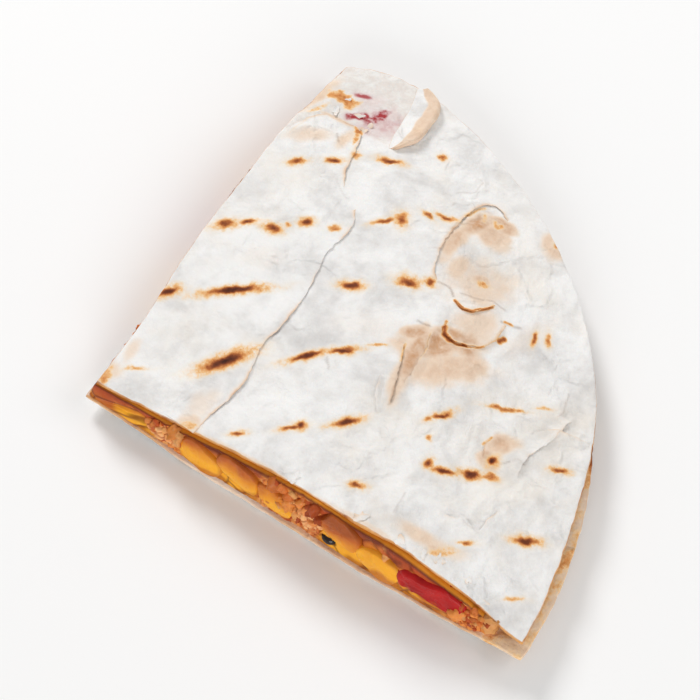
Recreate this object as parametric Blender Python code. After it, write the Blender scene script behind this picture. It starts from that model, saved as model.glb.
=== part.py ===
"""A quarter of a grilled quesadilla.

Two round flour tortillas hold a hot filling of minced chicken and melted cheese, and two
straight cuts through the middle make the quarter. The cuts lie along +X, at the front, and
along +Y, at the left, and the round rim closes the third side. The filling shows at both
cuts, with sweetcorn kernels, pieces of red pepper and lumps of chicken standing out of it.
The quarter is thickest between its tip and its rim, and thins towards both, so it rests on
the flat middle of its underside. Lengths are in metres, and the floor is at z = 0.
"""

import math

import bmesh
import bpy
import numpy as np
from mathutils import Matrix, Vector, noise

# Driving dimensions.
RADIUS = 0.100  # from the tip of the quarter to the rim of the upper tortilla
SHEET = 0.0018  # thickness of one tortilla
SANDWICH = (  # share of the radius from the tip, and height of the whole sandwich there
    (0.00, 0.0066),
    (0.15, 0.0076),
    (0.30, 0.0128),
    (0.50, 0.0148),
    (0.70, 0.0142),
    (0.84, 0.0108),
    (0.94, 0.0062),
    (1.00, 0.0044),
)
RESTING = 0.0118  # sandwich height from which the underside lies flat on the floor
LIFT_EASE = 0.0012  # length over which the underside leaves the floor
CUT_LIP = 0.0018  # how far the lower tortilla reaches past the upper one at the cuts
RIM_LIP = 0.0008  # how far its rim is wider than the upper one's at the front cut
CORNER_CUT = 0.060  # share of the radius that the worn far corner falls short of the rim
CORNER_ANGLE = 76  # degrees round from the front cut at which the far corner starts to wear
SHRINK = 0.016  # share of the radius by which the upper rim shrinks back near the front cut
LEAN = 0.035  # sideways lean of the left cut for each unit of length: the angle is over 90
GAP = 0.0003  # between touching pieces
FILLING_GAP = 0.00045  # between the filling and the tortillas
FILLING_REACH = 0.945  # share of the radius that the filling fills
LUMP = 0.0009  # how far the filling bulges out of the cuts
WAVES = (  # length of a gentle wave over the tortillas, its direction, start and height
    (0.047, 20, 0.3, 0.00034),
    (0.033, 98, 2.0, 0.00026),
    (0.026, 151, 4.4, 0.00018),
)
BLISTERS = (  # middle of a blister in the upper tortilla, its radius and its height
    (0.055, 0.053, 0.011, 0.0013),
    (0.046, 0.070, 0.010, 0.0008),
    (0.077, 0.032, 0.008, 0.0006),
    (0.016, 0.044, 0.012, 0.0005),
)
SHEET_CELLS, FILLING_CELLS, FILLING_ROWS = 22, 18, 4

# Chunks that stand out of the filling at a cut. A kernel has its distance from the tip along
# the cut as a share of the radius, the share of the filling's depth at its middle, and its
# turn in degrees. The others have length, height and depth in millimetres in place of a turn.
CORN_SIZE = (9.0, 6.4, 8.4)
CORN_FACE = 0.86  # share of half a kernel's depth at which the knife has sliced it flat
CORN = {
    "front": (
        (0.258, 0.42, 14),
        (0.350, 0.58, 12),
        (0.441, 0.36, 14),
        (0.592, 0.64, 24),
        (0.684, 0.36, 22),
    ),
    "left": ((0.345, 0.42, -12), (0.572, 0.60, 18), (0.668, 0.40, -8)),
}
PEPPER = {
    "front": ((0.800, 0.60, 12.0, 4.4, 6.0),),
    "left": ((0.462, 0.46, 10.5, 5.6, 6.0), (0.862, 0.50, 6.5, 2.4, 5.0)),
}
CHICKEN = {
    "front": ((0.162, 0.52, 7.0, 2.6, 6.0), (0.521, 0.46, 4.8, 7.0, 6.0)),
    "left": ((0.240, 0.50, 8.0, 5.0, 6.0), (0.766, 0.48, 8.4, 5.6, 6.5)),
}
BEAN = {"front": ((0.566, 0.14, 3.6, 2.2, 4.6),), "left": ((0.508, 0.86, 3.2, 2.0, 4.6),)}

FLOUR = (0.90, 0.88, 0.85, 1.0)
FILLING_ORANGE = (0.72, 0.36, 0.12, 1.0)
CORN_YELLOW = (0.90, 0.58, 0.07, 1.0)
PEPPER_RED = (0.66, 0.05, 0.03, 1.0)
CHICKEN_TAN = (0.82, 0.50, 0.28, 1.0)
BEAN_BLACK = (0.03, 0.02, 0.03, 1.0)

MM = 0.001


def material(name, colour, roughness):
    """A plain surface of one colour."""
    made = bpy.data.materials.new(name)
    made.use_nodes = True
    shader = made.node_tree.nodes["Principled BSDF"]
    shader.inputs["Base Color"].default_value = colour
    shader.inputs["Roughness"].default_value = roughness
    return made


def link(name, mesh, finish):
    """A new object of that name and material in the scene."""
    made = bpy.data.objects.new(name, mesh)
    made.data.materials.append(finish)
    bpy.context.scene.collection.objects.link(made)
    return made


def smooth(x):
    """0 below 0, 1 above 1, and an S-shaped rise between."""
    x = min(max(x, 0.0), 1.0)
    return x * x * (3 - 2 * x)


def waves(x, y):
    """Height of the gentle waves at a point: the sum of a few plane waves."""
    height = 0.0
    for length, degrees, start, tall in WAVES:
        along = x * math.cos(math.radians(degrees)) + y * math.sin(math.radians(degrees))
        height += tall * math.sin(2 * math.pi * along / length + start)
    return height


def blisters(x, y):
    """Height of the blisters at a point: each is a smooth hump."""
    height = 0.0
    for middle_x, middle_y, radius, tall in BLISTERS:
        height += tall * smooth(1 - math.hypot(x - middle_x, y - middle_y) / radius)
    return height


def radial_share(x, y):
    """Distance from the tip as a share of the radius."""
    return math.hypot(max(x, 0.0), max(y, 0.0)) / RADIUS


def sandwich_height(x, y):
    """Height of both tortillas and the filling, by rounded steps between the named stations."""
    share = min(radial_share(x, y), 1.0)
    around = (share - 0.03, share, share + 0.03)
    stations, heights = zip(*SANDWICH)
    height = sum(np.interp(s, stations, heights) for s in around) / len(around)
    return height + waves(x, y) * smooth((1 - share) / 0.25)


def floor_side(x, y):
    """Underside of the lower tortilla: flat on the floor where the quarter is thick, and lifted
    by half of the missing height towards the tip and the rim."""
    lack = max(0.0, RESTING - sandwich_height(x, y))
    return 0.5 * lack * lack / (lack + LIFT_EASE)


def floor_top(x, y):
    """Upper side of the lower tortilla."""
    return floor_side(x, y) + SHEET


def crown(x, y):
    """Upper side of the upper tortilla."""
    return floor_side(x, y) + sandwich_height(x, y) + blisters(x, y)


def crown_under(x, y):
    """Underside of the upper tortilla."""
    return crown(x, y) - SHEET


def quarter(u, v):
    """A square's point as a point of the unit quarter disc, by the elliptical grid mapping: the
    square's lower and left edges are the cuts, and its other two edges share the rim."""
    return u * math.sqrt(1 - v * v / 2), v * math.sqrt(1 - u * u / 2)


def rim_radius(degrees, shrink):
    """Radius of a tortilla: worn short at the far corner, shrunk back near the front cut."""
    worn = max(0.0, (degrees - CORNER_ANGLE) / (90 - CORNER_ANGLE)) ** 3
    shrunk = smooth(1 - abs(degrees - 15) / 20)
    return RADIUS * (1 - CORNER_CUT * worn - shrink * shrunk)


def stray(along):
    """How far a knife cut strays sideways at a distance from the tip, as a share of the radius."""
    return 0.003 * math.sin(5.0 * along + 0.7) + 0.0012 * math.sin(17.0 * along)


def sheet_outline(lip, rim_lip, shrink):
    """Returns the function that carries a square's point to the plan of a tortilla that reaches
    lip past both cuts, and whose rim is rim_lip wider at the front cut and shrinks after it."""

    def place(u, v):
        p, q = quarter(u, v)
        degrees = math.degrees(math.atan2(q, p))
        reach = rim_radius(degrees, shrink) + lip
        reach += rim_lip * (1 - 2 * smooth(degrees / 60))
        inward = RADIUS * stray(p - q) * abs(p - q)
        return (
            -lip + reach * p - LEAN * RADIUS * q * (1 - p) + inward * (q > p),
            -lip + reach * q + inward * (p > q),
        )

    return place


def filling_outline(u, v):
    """Plan of the filling: short of the rim, and out to the cuts."""
    p, q = quarter(u, v)
    reach = RADIUS * FILLING_REACH
    lean = LEAN * RADIUS * q * (1 - p)
    return -0.3 * CUT_LIP + reach * p - lean, -0.3 * CUT_LIP + reach * q


def slab(cells, rows, place, low, high, push):
    """A closed body between two surfaces of the same plan. Two grids are carried to the plan
    that place gives and to the heights low and high, their edges are bridged by a wall, and
    the wall is cut into rows that push moves outwards."""
    shape = bmesh.new()
    edges = []
    sides = []
    for height in (low, high):
        grid = bmesh.ops.create_grid(shape, x_segments=cells, y_segments=cells, size=0.5)
        for vert in grid["verts"]:
            x, y = place(vert.co.x + 0.5, vert.co.y + 0.5)
            vert.co = Vector((x, y, height(x, y)))
        found = {edge for vert in grid["verts"] for edge in vert.link_edges}
        edges += [edge for edge in found if edge.is_boundary]
        sides.append({vert for edge in found if edge.is_boundary for vert in edge.verts})
    bmesh.ops.bridge_loops(shape, edges=edges)
    upright = [
        edge
        for edge in shape.edges
        if (edge.verts[0] in sides[0]) != (edge.verts[1] in sides[0])
    ]
    before = set(shape.verts)
    if rows > 1:
        bmesh.ops.subdivide_edges(shape, edges=upright, cuts=rows - 1, use_grid_fill=True)
    for vert in set(shape.verts) - before:
        out, up = push(vert.co.x, vert.co.y, vert.co.z)
        vert.co.x += out[0]
        vert.co.y += out[1]
        vert.co.z += up
    bmesh.ops.recalc_face_normals(shape, faces=shape.faces)
    return shape


def outwards(x, y):
    """Unit direction out of the nearest side of the quarter, in plan."""
    to_rim = RADIUS * FILLING_REACH - math.hypot(x, y)
    if y < x and y < to_rim:
        return Vector((0.0, -1.0))
    if x <= y and x < to_rim:
        return Vector((-1.0, 0.0))
    return Vector((x, y)).normalized()


def finish(shape, name):
    """The body as a mesh, shaded smooth but for its sharp edges."""
    mesh = bpy.data.meshes.new(name)
    shape.to_mesh(mesh)
    shape.free()
    mesh.shade_smooth()
    mesh.set_sharp_from_angle(angle=math.radians(40))
    return mesh


def tortilla(name, outline, low, high, flour):
    """One cut tortilla with a softly rounded edge."""

    def bead(x, y, _z):
        return outwards(x, y) * (0.18 * SHEET), 0.0

    shape = slab(SHEET_CELLS, 2, outline, low, high, bead)
    return link(name, finish(shape, name), flour)


def filling_low(x, y):
    """Underside of the filling."""
    return floor_top(x, y) + FILLING_GAP


def filling_high(x, y):
    """Upper side of the filling."""
    return crown_under(x, y) - FILLING_GAP


def filling_bulge(x, y, z):
    """Lumps that swell out of the cuts, more at the foot of the wall than at its head."""
    low, high = filling_low(x, y), filling_high(x, y)
    share = (z - low) / max(high - low, MM)
    along = max(x, y)
    lump = noise.noise(Vector((along / 0.0065, share * 1.6, 0.0 if y < x else 4.0)))
    swell = math.sin(math.pi * min(max(share, 0.0), 1.0))
    at_cut = smooth((RADIUS * FILLING_REACH - along) / 0.01)
    reach = LUMP * (0.35 + lump) * swell + 0.6 * CUT_LIP * (1 - share) * swell
    return outwards(x, y) * (reach * at_cut), 0.0


def stand(cut, along, depth_share, out):
    """Frame of a chunk at a cut: its X runs along the cut, its Y into the filling, Z up."""
    x, y = (along * RADIUS, out) if cut == "front" else (out - LEAN * along * RADIUS, along * RADIUS)
    low, high = filling_low(x, y), filling_high(x, y)
    centre = Vector((x, y, low + depth_share * (high - low)))
    turn = Matrix.Identity(4)
    if cut == "left":
        turn = Matrix(((0, 1, 0, 0), (1, 0, 0, 0), (0, 0, 1, 0), (0, 0, 0, 1)))
    return Matrix.Translation(centre) @ turn


def kernel_shape(size, turn):
    """A sweetcorn kernel on its side: a rounded block, sliced flat at the cut, that narrows to
    a root at its inner end."""
    shape = bmesh.new()
    bmesh.ops.create_icosphere(shape, subdivisions=2, radius=1.0)
    for vert in shape.verts:
        squared = Vector([math.copysign(abs(c) ** 0.72, c) for c in vert.co])
        squared.y = max(squared.y, -CORN_FACE)
        narrow = 1 - 0.34 * smooth((squared.y + 0.2) / 1.2)
        vert.co = Vector((squared.x * narrow, squared.y, squared.z * narrow))
    half = Vector(size) * (0.5 * MM)
    bmesh.ops.scale(shape, vec=Vector((half.x, half.z, half.y)), verts=shape.verts)
    bmesh.ops.rotate(shape, matrix=Matrix.Rotation(math.radians(turn), 3, "Y"), verts=shape.verts)
    return shape


def pepper_shape(size):
    """A diced piece of pepper: a rounded block bowed like the wall of the fruit."""
    length, height, depth = (0.5 * MM * part for part in size)
    shape = bmesh.new()
    bmesh.ops.create_cube(shape, size=2.0)
    bmesh.ops.subdivide_edges(shape, edges=shape.edges, cuts=1, use_grid_fill=True)
    for vert in shape.verts:
        vert.co = vert.co * (1.0 - 0.10 * (vert.co.length - 1.0))
        vert.co = Vector((vert.co.x * length, vert.co.y * depth, vert.co.z * height))
        vert.co.z -= 0.25 * height * (vert.co.x / length) ** 2
    bmesh.ops.bevel(
        shape, geom=shape.edges, offset=0.12 * height, segments=1, affect="EDGES"
    )
    return shape


def chicken_shape(size, seed):
    """A lump of minced chicken: a ball crumpled by noise."""
    length, height, depth = (0.5 * MM * part for part in size)
    shape = bmesh.new()
    bmesh.ops.create_icosphere(shape, subdivisions=2, radius=1.0)
    for vert in shape.verts:
        vert.co *= 1.0 + 0.22 * noise.noise(vert.co * 1.9 + Vector((seed, 0, 0)))
        vert.co = Vector((vert.co.x * length, vert.co.y * depth, vert.co.z * height))
    return shape


def bean_shape(size):
    """A black bean: a smooth ball drawn out along one way and hollowed a little on one side."""
    length, height, depth = (0.5 * MM * part for part in size)
    shape = bmesh.new()
    bmesh.ops.create_icosphere(shape, subdivisions=2, radius=1.0)
    for vert in shape.verts:
        dent = 0.18 * max(0.0, -vert.co.z) * (1 - vert.co.y ** 2)
        vert.co = Vector((vert.co.x * length, vert.co.y * depth, (vert.co.z + dent) * height))
    return shape


def chunk(name, shape, frame, colour):
    """A chunk in its place, and the wider guide that clears its pocket out of the filling."""
    if frame.determinant() < 0:
        bmesh.ops.reverse_faces(shape, faces=shape.faces)
    bmesh.ops.transform(shape, matrix=frame, verts=shape.verts)
    shape.normal_update()
    wide = shape.copy()
    for vert in wide.verts:
        vert.co += vert.normal * (1.6 * GAP)
    link(name, finish(shape, name), colour)
    pocket = link(name + "_pocket", finish(wide, name + "_pocket"), colour)
    pocket.hide_render = True
    pocket.display_type = "WIRE"
    return pocket


def chunks(finishes):
    """Every kernel, pepper piece, chicken lump and bean, at both cuts. Returns their pockets."""
    makers = (
        ("corn", CORN, lambda n, turn: kernel_shape(CORN_SIZE, turn), 0.26 * CORN_SIZE[2]),
        ("pepper", PEPPER, lambda n, *size: pepper_shape(size), 1.3),
        ("chicken", CHICKEN, lambda n, *size: chicken_shape(size, 2.0 * n), 1.4),
        ("bean", BEAN, lambda n, *size: bean_shape(size), 1.0),
    )
    pockets = []
    for kind, cuts, make, sunk in makers:
        for cut, rows in cuts.items():
            for n, (along, share, *size) in enumerate(rows, 1):
                name = f"{kind}_{cut}_{n}"
                frame = stand(cut, along, share, sunk * MM)
                pockets.append(chunk(name, make(n, *size), frame, finishes[kind]))
    return pockets


def filling(finish_colour, pockets):
    """The mince and cheese between the tortillas, with a pocket for each chunk."""
    shape = slab(
        FILLING_CELLS, FILLING_ROWS, filling_outline, filling_low, filling_high, filling_bulge
    )
    body = link("filling", finish(shape, "filling"), finish_colour)
    guides = bpy.data.collections.new("pockets")
    bpy.context.scene.collection.children.link(guides)
    for pocket in pockets:
        bpy.context.scene.collection.objects.unlink(pocket)
        guides.objects.link(pocket)
    cut = body.modifiers.new("pockets", "BOOLEAN")
    cut.operation = "DIFFERENCE"
    cut.solver = "EXACT"
    cut.operand_type = "COLLECTION"
    cut.collection = guides
    return body


def centre_on_origin(objects):
    """Puts the middle of the quarter's plan over the origin, by an empty that carries it all."""
    bpy.context.view_layer.update()
    graph = bpy.context.evaluated_depsgraph_get()
    corners = [
        Vector(corner)
        for obj in objects
        if not obj.hide_render
        for corner in obj.evaluated_get(graph).bound_box
    ]
    low = [min(c[i] for c in corners) for i in (0, 1)]
    high = [max(c[i] for c in corners) for i in (0, 1)]
    hub = bpy.data.objects.new("quarter", None)
    bpy.context.scene.collection.objects.link(hub)
    for obj in objects:
        obj.parent = hub
    hub.location = (-(low[0] + high[0]) / 2, -(low[1] + high[1]) / 2, 0.0)


def build():
    """Clears the scene and builds the quarter."""
    for old in list(bpy.data.objects):
        bpy.data.objects.remove(old)
    flour = material("flour", FLOUR, 0.75)
    finishes = {
        "corn": material("corn", CORN_YELLOW, 0.35),
        "pepper": material("pepper", PEPPER_RED, 0.3),
        "chicken": material("chicken", CHICKEN_TAN, 0.6),
        "bean": material("bean", BEAN_BLACK, 0.4),
    }
    lower = sheet_outline(CUT_LIP, RIM_LIP, 0.0)
    upper = sheet_outline(0.0, 0.0, SHRINK)
    tortilla("tortilla_bottom", lower, floor_side, floor_top, flour)
    tortilla("tortilla_top", upper, crown_under, crown, flour)
    filling(material("filling", FILLING_ORANGE, 0.45), chunks(finishes))
    centre_on_origin([obj for obj in bpy.data.objects if obj.type == "MESH"])


build()
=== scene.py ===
import math
from itertools import product

import bpy
import numpy as np
from mathutils import Matrix, Vector


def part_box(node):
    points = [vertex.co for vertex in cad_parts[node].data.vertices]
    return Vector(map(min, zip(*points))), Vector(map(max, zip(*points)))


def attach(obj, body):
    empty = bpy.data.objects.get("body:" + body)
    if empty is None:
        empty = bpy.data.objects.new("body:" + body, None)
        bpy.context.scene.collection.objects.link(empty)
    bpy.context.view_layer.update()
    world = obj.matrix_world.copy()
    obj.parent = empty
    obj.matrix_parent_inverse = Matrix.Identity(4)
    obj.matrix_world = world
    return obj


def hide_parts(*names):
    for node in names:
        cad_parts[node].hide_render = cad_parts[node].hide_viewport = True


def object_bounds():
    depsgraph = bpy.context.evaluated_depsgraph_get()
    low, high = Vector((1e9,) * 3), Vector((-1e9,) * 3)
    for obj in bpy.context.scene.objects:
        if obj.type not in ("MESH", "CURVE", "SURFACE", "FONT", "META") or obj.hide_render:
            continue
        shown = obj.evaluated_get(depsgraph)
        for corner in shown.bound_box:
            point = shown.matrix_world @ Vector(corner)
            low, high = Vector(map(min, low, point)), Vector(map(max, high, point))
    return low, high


bl_info = {
    "name": "Quesadilla Wedge",
    "version": (1, 0, 0),
    "blender": (4, 5, 0),
    "location": "View3D > Sidebar > Quesadilla",
    "description": "Builds the visible pieces of a quarter of a grilled quesadilla",
    "category": "Add Mesh",
}

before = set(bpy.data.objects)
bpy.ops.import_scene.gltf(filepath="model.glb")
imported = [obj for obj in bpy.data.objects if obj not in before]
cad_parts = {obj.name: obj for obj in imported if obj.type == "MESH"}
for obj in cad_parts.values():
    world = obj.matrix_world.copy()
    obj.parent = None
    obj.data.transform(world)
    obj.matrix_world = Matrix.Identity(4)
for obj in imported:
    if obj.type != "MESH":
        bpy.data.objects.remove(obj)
CAD_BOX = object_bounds()
MM = 0.001

# The solids' own proportions, which the visible pieces share. Lengths are in metres, measured
# from the tip of the quarter: the front cut runs along +X and the left cut along +Y.
RADIUS = 0.100
SHEET = 0.0018
SANDWICH = (
    (0.00, 0.0066),
    (0.15, 0.0076),
    (0.30, 0.0128),
    (0.50, 0.0148),
    (0.70, 0.0142),
    (0.84, 0.0108),
    (0.94, 0.0062),
    (1.00, 0.0044),
)
RESTING = 0.0118
LIFT_EASE = 0.0012
CUT_LIP = 0.0018
RIM_LIP = 0.0008
CORNER_CUT = 0.060
CORNER_ANGLE = 76
SHRINK = 0.016
LEAN = 0.035
FILLING_REACH = 0.945
FILLING_EDGE = 0.3 * CUT_LIP
WAVES = (
    (0.047, 20, 0.3, 0.00034),
    (0.033, 98, 2.0, 0.00026),
    (0.026, 151, 4.4, 0.00018),
)
BLISTERS = (
    (0.055, 0.053, 0.011, 0.0013),
    (0.046, 0.070, 0.010, 0.0008),
    (0.077, 0.032, 0.008, 0.0006),
    (0.016, 0.044, 0.012, 0.0005),
)

OPENED = 0.0011

# The filling's far ends lie at a known distance from the tip, so its box gives the tip's place.
FILLING_SPAN = RADIUS * FILLING_REACH - FILLING_EDGE
TIP = np.array(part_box("filling")[1])[:2] - FILLING_SPAN

TORN_EDGE = ((-0.0033, 0.0663), (-0.0016, 0.0700), (0.0006, 0.0764), (0.0051, 0.0788), (0.0100, 0.0794))

# Creases of the upper tortilla: the points they run through in millimetres, height and width.
CREASES = (
    (((50.5, 77.5), (55.0, 71.0), (59.0, 64.0), (62.5, 58.5)), 0.24, 0.50),
    (((44.0, 61.5), (42.9, 67.5), (43.8, 74.5)), 0.20, 0.55),
    (((46.6, 63.5), (45.4, 69.5), (46.4, 76.0)), 0.22, 0.60),
    (((49.2, 66.0), (48.4, 71.0), (49.4, 76.0)), 0.18, 0.50),
    (((83, 46), (82, 38), (81, 32), (81, 27), (79, 20), (78, 13)), 0.40, 0.7),
    (((92, 44), (87, 43), (81, 41), (78, 37), (76, 30), (76, 26)), 0.34, 0.6),
    (((80, 30), (80, 27), (77, 28)), 0.30, 0.5),
    (((48, 29), (50, 25), (52, 22), (56, 22)), 0.34, 0.6),
    (((51, 44), (52, 40), (52.5, 35), (52.6, 31)), 0.42, 0.6),
    (((67, 12), (67, 6), (68, 2)), 0.34, 0.6),
    (((66, 11), (70, 15), (73, 16), (76, 15)), 0.28, 0.7),
    (((73.5, 11), (74.5, 15), (76, 18), (77, 22)), 0.34, 0.6),
    (((78, 13), (80, 13), (81.5, 12), (82, 17), (80, 21)), 0.32, 0.5),
    (((83, 7), (84, 12), (83, 18), (85, 24)), 0.26, 0.8),
    (((88, 8), (86, 16), (87, 25), (85, 34)), 0.26, 0.9),
    (((60, 74), (64, 66), (66, 57), (64, 47)), 0.26, 0.9),
    (((79, 51), (81, 47), (81, 44)), 0.34, 0.5),
    (((70, 48), (74, 43), (75, 37), (73, 31)), 0.24, 0.8),
    (((30, 61), (36, 58), (40, 51)), 0.22, 0.9),
    (((13, 64), (16, 62), (18, 45), (20, 40)), 0.18, 0.5),
    (((37, 19), (43, 14), (51, 13)), 0.20, 0.9),
    (((28, 8), (34, 9), (37, 12)), 0.18, 0.6),
    (((56, 8), (60, 14), (66, 17), (70, 23)), 0.20, 0.9),
)

# Rows of grill marks lie across the quarter at one slant. Each row has its distance from the
# tip across the rows; each mark in it has its distance along the row, sideways shift, length,
# width, darkness from 0 to 1 and turn in degrees, with lengths in millimetres.
GRILL_SLANT = 34
GRILL_ROWS = (
    (53.8, (
        (39.5, -3.8, 5.0, 2.2, 0.62, 10),
        (47.3, -2.8, 4.5, 2.2, 0.70, 0),
        (51.7, -1.1, 3.6, 3.0, 0.42, 60),
        (59.0, -2.0, 6.5, 2.2, 0.74, -12),
        (70.3, 0.7, 3.2, 2.6, 0.50, -30),
    )),
    (37.2, (
        (24.8, -3.1, 5.5, 3.0, 0.70, 15),
        (29.4, -2.4, 4.4, 2.2, 0.72, 0),
        (34.6, -4.2, 5.0, 3.2, 0.66, -20),
        (37.8, -3.5, 2.2, 2.4, 0.36, 80),
        (41.5, -2.6, 3.6, 2.4, 0.82, 0),
        (47.3, -3.8, 4.2, 2.4, 0.40, 10),
        (57.4, -2.0, 6.5, 1.7, 0.62, 12),
        (61.0, -1.4, 5.2, 4.4, 0.56, 78),
        (66.5, 0.4, 4.4, 2.2, 0.52, -40),
        (70.4, 0.2, 6.0, 2.0, 0.60, -18),
    )),
    (20.8, (
        (13.3, -1.2, 5.6, 2.6, 0.90, 8),
        (26.6, -1.8, 13.5, 2.1, 0.96, 3),
        (50.6, -1.7, 5.4, 2.8, 0.80, -8),
        (62.2, -0.6, 6.0, 3.8, 0.68, -10),
        (66.6, -0.2, 2.6, 3.4, 0.66, 80),
        (77.6, 0.6, 3.4, 2.6, 0.42, 0),
    )),
    (4.6, (
        (7.4, -1.9, 8.0, 1.6, 0.34, 0),
        (25.4, -1.4, 11.0, 3.4, 1.00, 14),
        (41.6, -1.7, 9.0, 1.8, 0.86, 12),
        (48.8, -0.9, 7.5, 1.8, 0.80, 2),
        (55.6, 0.2, 6.0, 1.2, 0.40, 0),
        (87.6, 4.7, 4.6, 1.8, 0.60, 76),
        (90.4, 4.9, 4.0, 2.0, 0.52, 84),
    )),
    (-10.2, (
        (28.2, -3.8, 4.0, 1.9, 0.66, 0),
        (38.7, -3.4, 6.5, 1.8, 0.60, 10),
        (40.4, -3.0, 2.6, 2.4, 0.92, 0),
        (49.5, -2.2, 6.8, 2.2, 0.86, 14),
        (68.2, -0.4, 5.8, 1.9, 0.76, 24),
        (65.5, -1.5, 3.0, 1.8, 0.44, 0),
        (81.0, 2.5, 11.0, 1.9, 0.48, -4),
        (89.0, 3.7, 6.0, 1.6, 0.30, 0),
    )),
    (-21.5, (
        (51.5, -5.0, 4.2, 2.2, 0.66, -6),
        (65.6, 5.6, 3.2, 2.0, 0.40, 80),
        (65.4, 0.2, 3.0, 2.6, 0.66, 70),
        (68.3, -1.3, 5.5, 1.8, 0.80, -12),
        (73.6, -1.2, 5.0, 2.2, 0.88, -8),
        (77.6, -1.4, 5.4, 2.8, 0.46, -20),
        (78.0, 1.8, 2.6, 2.6, 0.94, 40),
        (91.3, 1.5, 4.6, 2.2, 0.66, 0),
    )),
    (-37.5, (
        (84.0, 1.8, 5.6, 2.4, 0.86, 0),
        (67.7, -2.1, 10.0, 3.0, 0.30, 8),
        (72.5, 0.1, 4.4, 1.6, 0.48, 0),
    )),
    (-49.0, (
        (81.6, 1.4, 7.0, 1.6, 0.34, 4),
    )),
)

# Toasted areas of the upper tortilla: middle, radii, turn and strength, lengths in millimetres.
# Up to a strength of about 0.3 they only warm the flour to peach; above it they turn tan.
TOAST = (
    (-2.8, 83.0, 6.5, 1.5, 84, 0.50),
    (4.6, 79.2, 5.2, 0.7, 4, 0.50),
    (54.0, 42.6, 8.0, 3.4, 38, 1.00),
    (50.4, 38.4, 5.5, 1.6, -80, 1.00),
    (58.0, 39.5, 8.0, 4.0, 40, 0.62),
    (48.3, 41.9, 2.6, 1.6, 40, 1.00),
    (51.4, 31.0, 6.0, 1.8, -75, 0.43),
    (57.2, 51.0, 5.6, 5.2, 40, 0.38),
    (54.3, 46.2, 3.6, 1.4, 20, 1.00),
    (52.0, 60.0, 7.0, 6.0, 58, 0.38),
    (51.7, 61.7, 2.2, 1.6, 30, 1.00),
    (43.4, 73.6, 4.6, 2.2, 80, 1.00),
    (46.4, 77.0, 3.6, 1.8, 10, 1.00),
    (42.2, 66.0, 5.5, 1.9, 92, 0.69),
    (47.2, 72.6, 4.0, 3.4, 0, 0.65),
    (46.6, 61.0, 4.0, 2.2, 100, 0.40),
    (75.2, 31.6, 3.6, 2.0, 60, 0.70),
    (74.8, 27.2, 1.8, 2.4, 60, 0.80),
    (66.0, 56.0, 9.0, 2.6, 70, 0.16),
    (0.3, 3.0, 3.4, 2.6, 0, 0.40),
    (1.5, 9.0, 3.6, 1.2, 100, 0.30),
    (2.6, 71.0, 5.5, 2.2, 40, 0.34),
    (9.0, 74.5, 1.6, 4.4, 0, 0.42),
    (21.1, 5.2, 3.0, 5.0, 0, 0.24),
    (21.4, 1.6, 2.6, 2.4, 0, 0.42),
    (12.0, 40.0, 6.0, 3.0, 30, 0.12),
    (40.0, 38.0, 7.0, 4.0, 30, 0.12),
    (74.5, 5.2, 7.0, 1.8, 8, 0.42),
    (77.0, 4.6, 1.8, 0.8, 8, 0.80),
    (60.6, 81.6, 3.6, 1.4, 118, 1.00),
    (59.0, 79.6, 3.8, 2.6, 118, 0.56),
    (33.0, 0.4, 12.0, 0.7, 0, 0.36),
    (62.0, 0.5, 10.0, 0.7, 0, 0.30),
)

# Lines scorched along the rims of burst blisters: the points and the width in millimetres, and
# the heat.
SCORCHED = (
    (((50.2, 53.3), (51.4, 52.8)), 0.34, 0.50),
    (((51.4, 52.8), (52.8, 52.6), (54.7, 53.6), (55.8, 55.0)), 0.40, 0.48),
    (((55.8, 55.0), (56.8, 57.4)), 0.34, 0.52),
    (((51.6, 48.0), (52.0, 46.8)), 0.40, 0.44),
    (((52.2, 46.6), (53.0, 45.2), (54.4, 44.7)), 0.70, 0.62),
    (((54.4, 44.7), (56.4, 44.8), (57.8, 45.4)), 0.42, 0.66),
    (((57.8, 45.4), (59.2, 46.6), (60.6, 48.3)), 0.26, 0.40),
    (((62.2, 51.6), (62.6, 52.6)), 0.70, 0.62),
    (((60.6, 56.0), (62.2, 56.3)), 0.34, 0.42),
    (((40.4, 73.6), (40.9, 76.6), (42.4, 78.6)), 0.55, 0.26),
    (((45.6, 76.8), (46.6, 75.6), (47.4, 76.8)), 0.80, 0.34),
    (((42.8, 77.0), (43.6, 75.0)), 0.80, 0.24),
    (((50.6, 43.8), (51.9, 40.0), (52.4, 37.0)), 0.40, 0.20),
    (((48.0, 38.6), (49.4, 34.6)), 0.36, 0.26),
    (((60.2, 82.2), (58.9, 80.2)), 0.90, 0.40),
    (((72.6, 31.8), (72.2, 29.6)), 0.50, 0.30),
    (((-0.9, 68.5), (-0.2, 72.5), (0.1, 76.3)), 0.40, 0.14),
    (((8.8, 79.8), (10.2, 77.9), (10.8, 76.2)), 0.60, 0.34),
)

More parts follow.
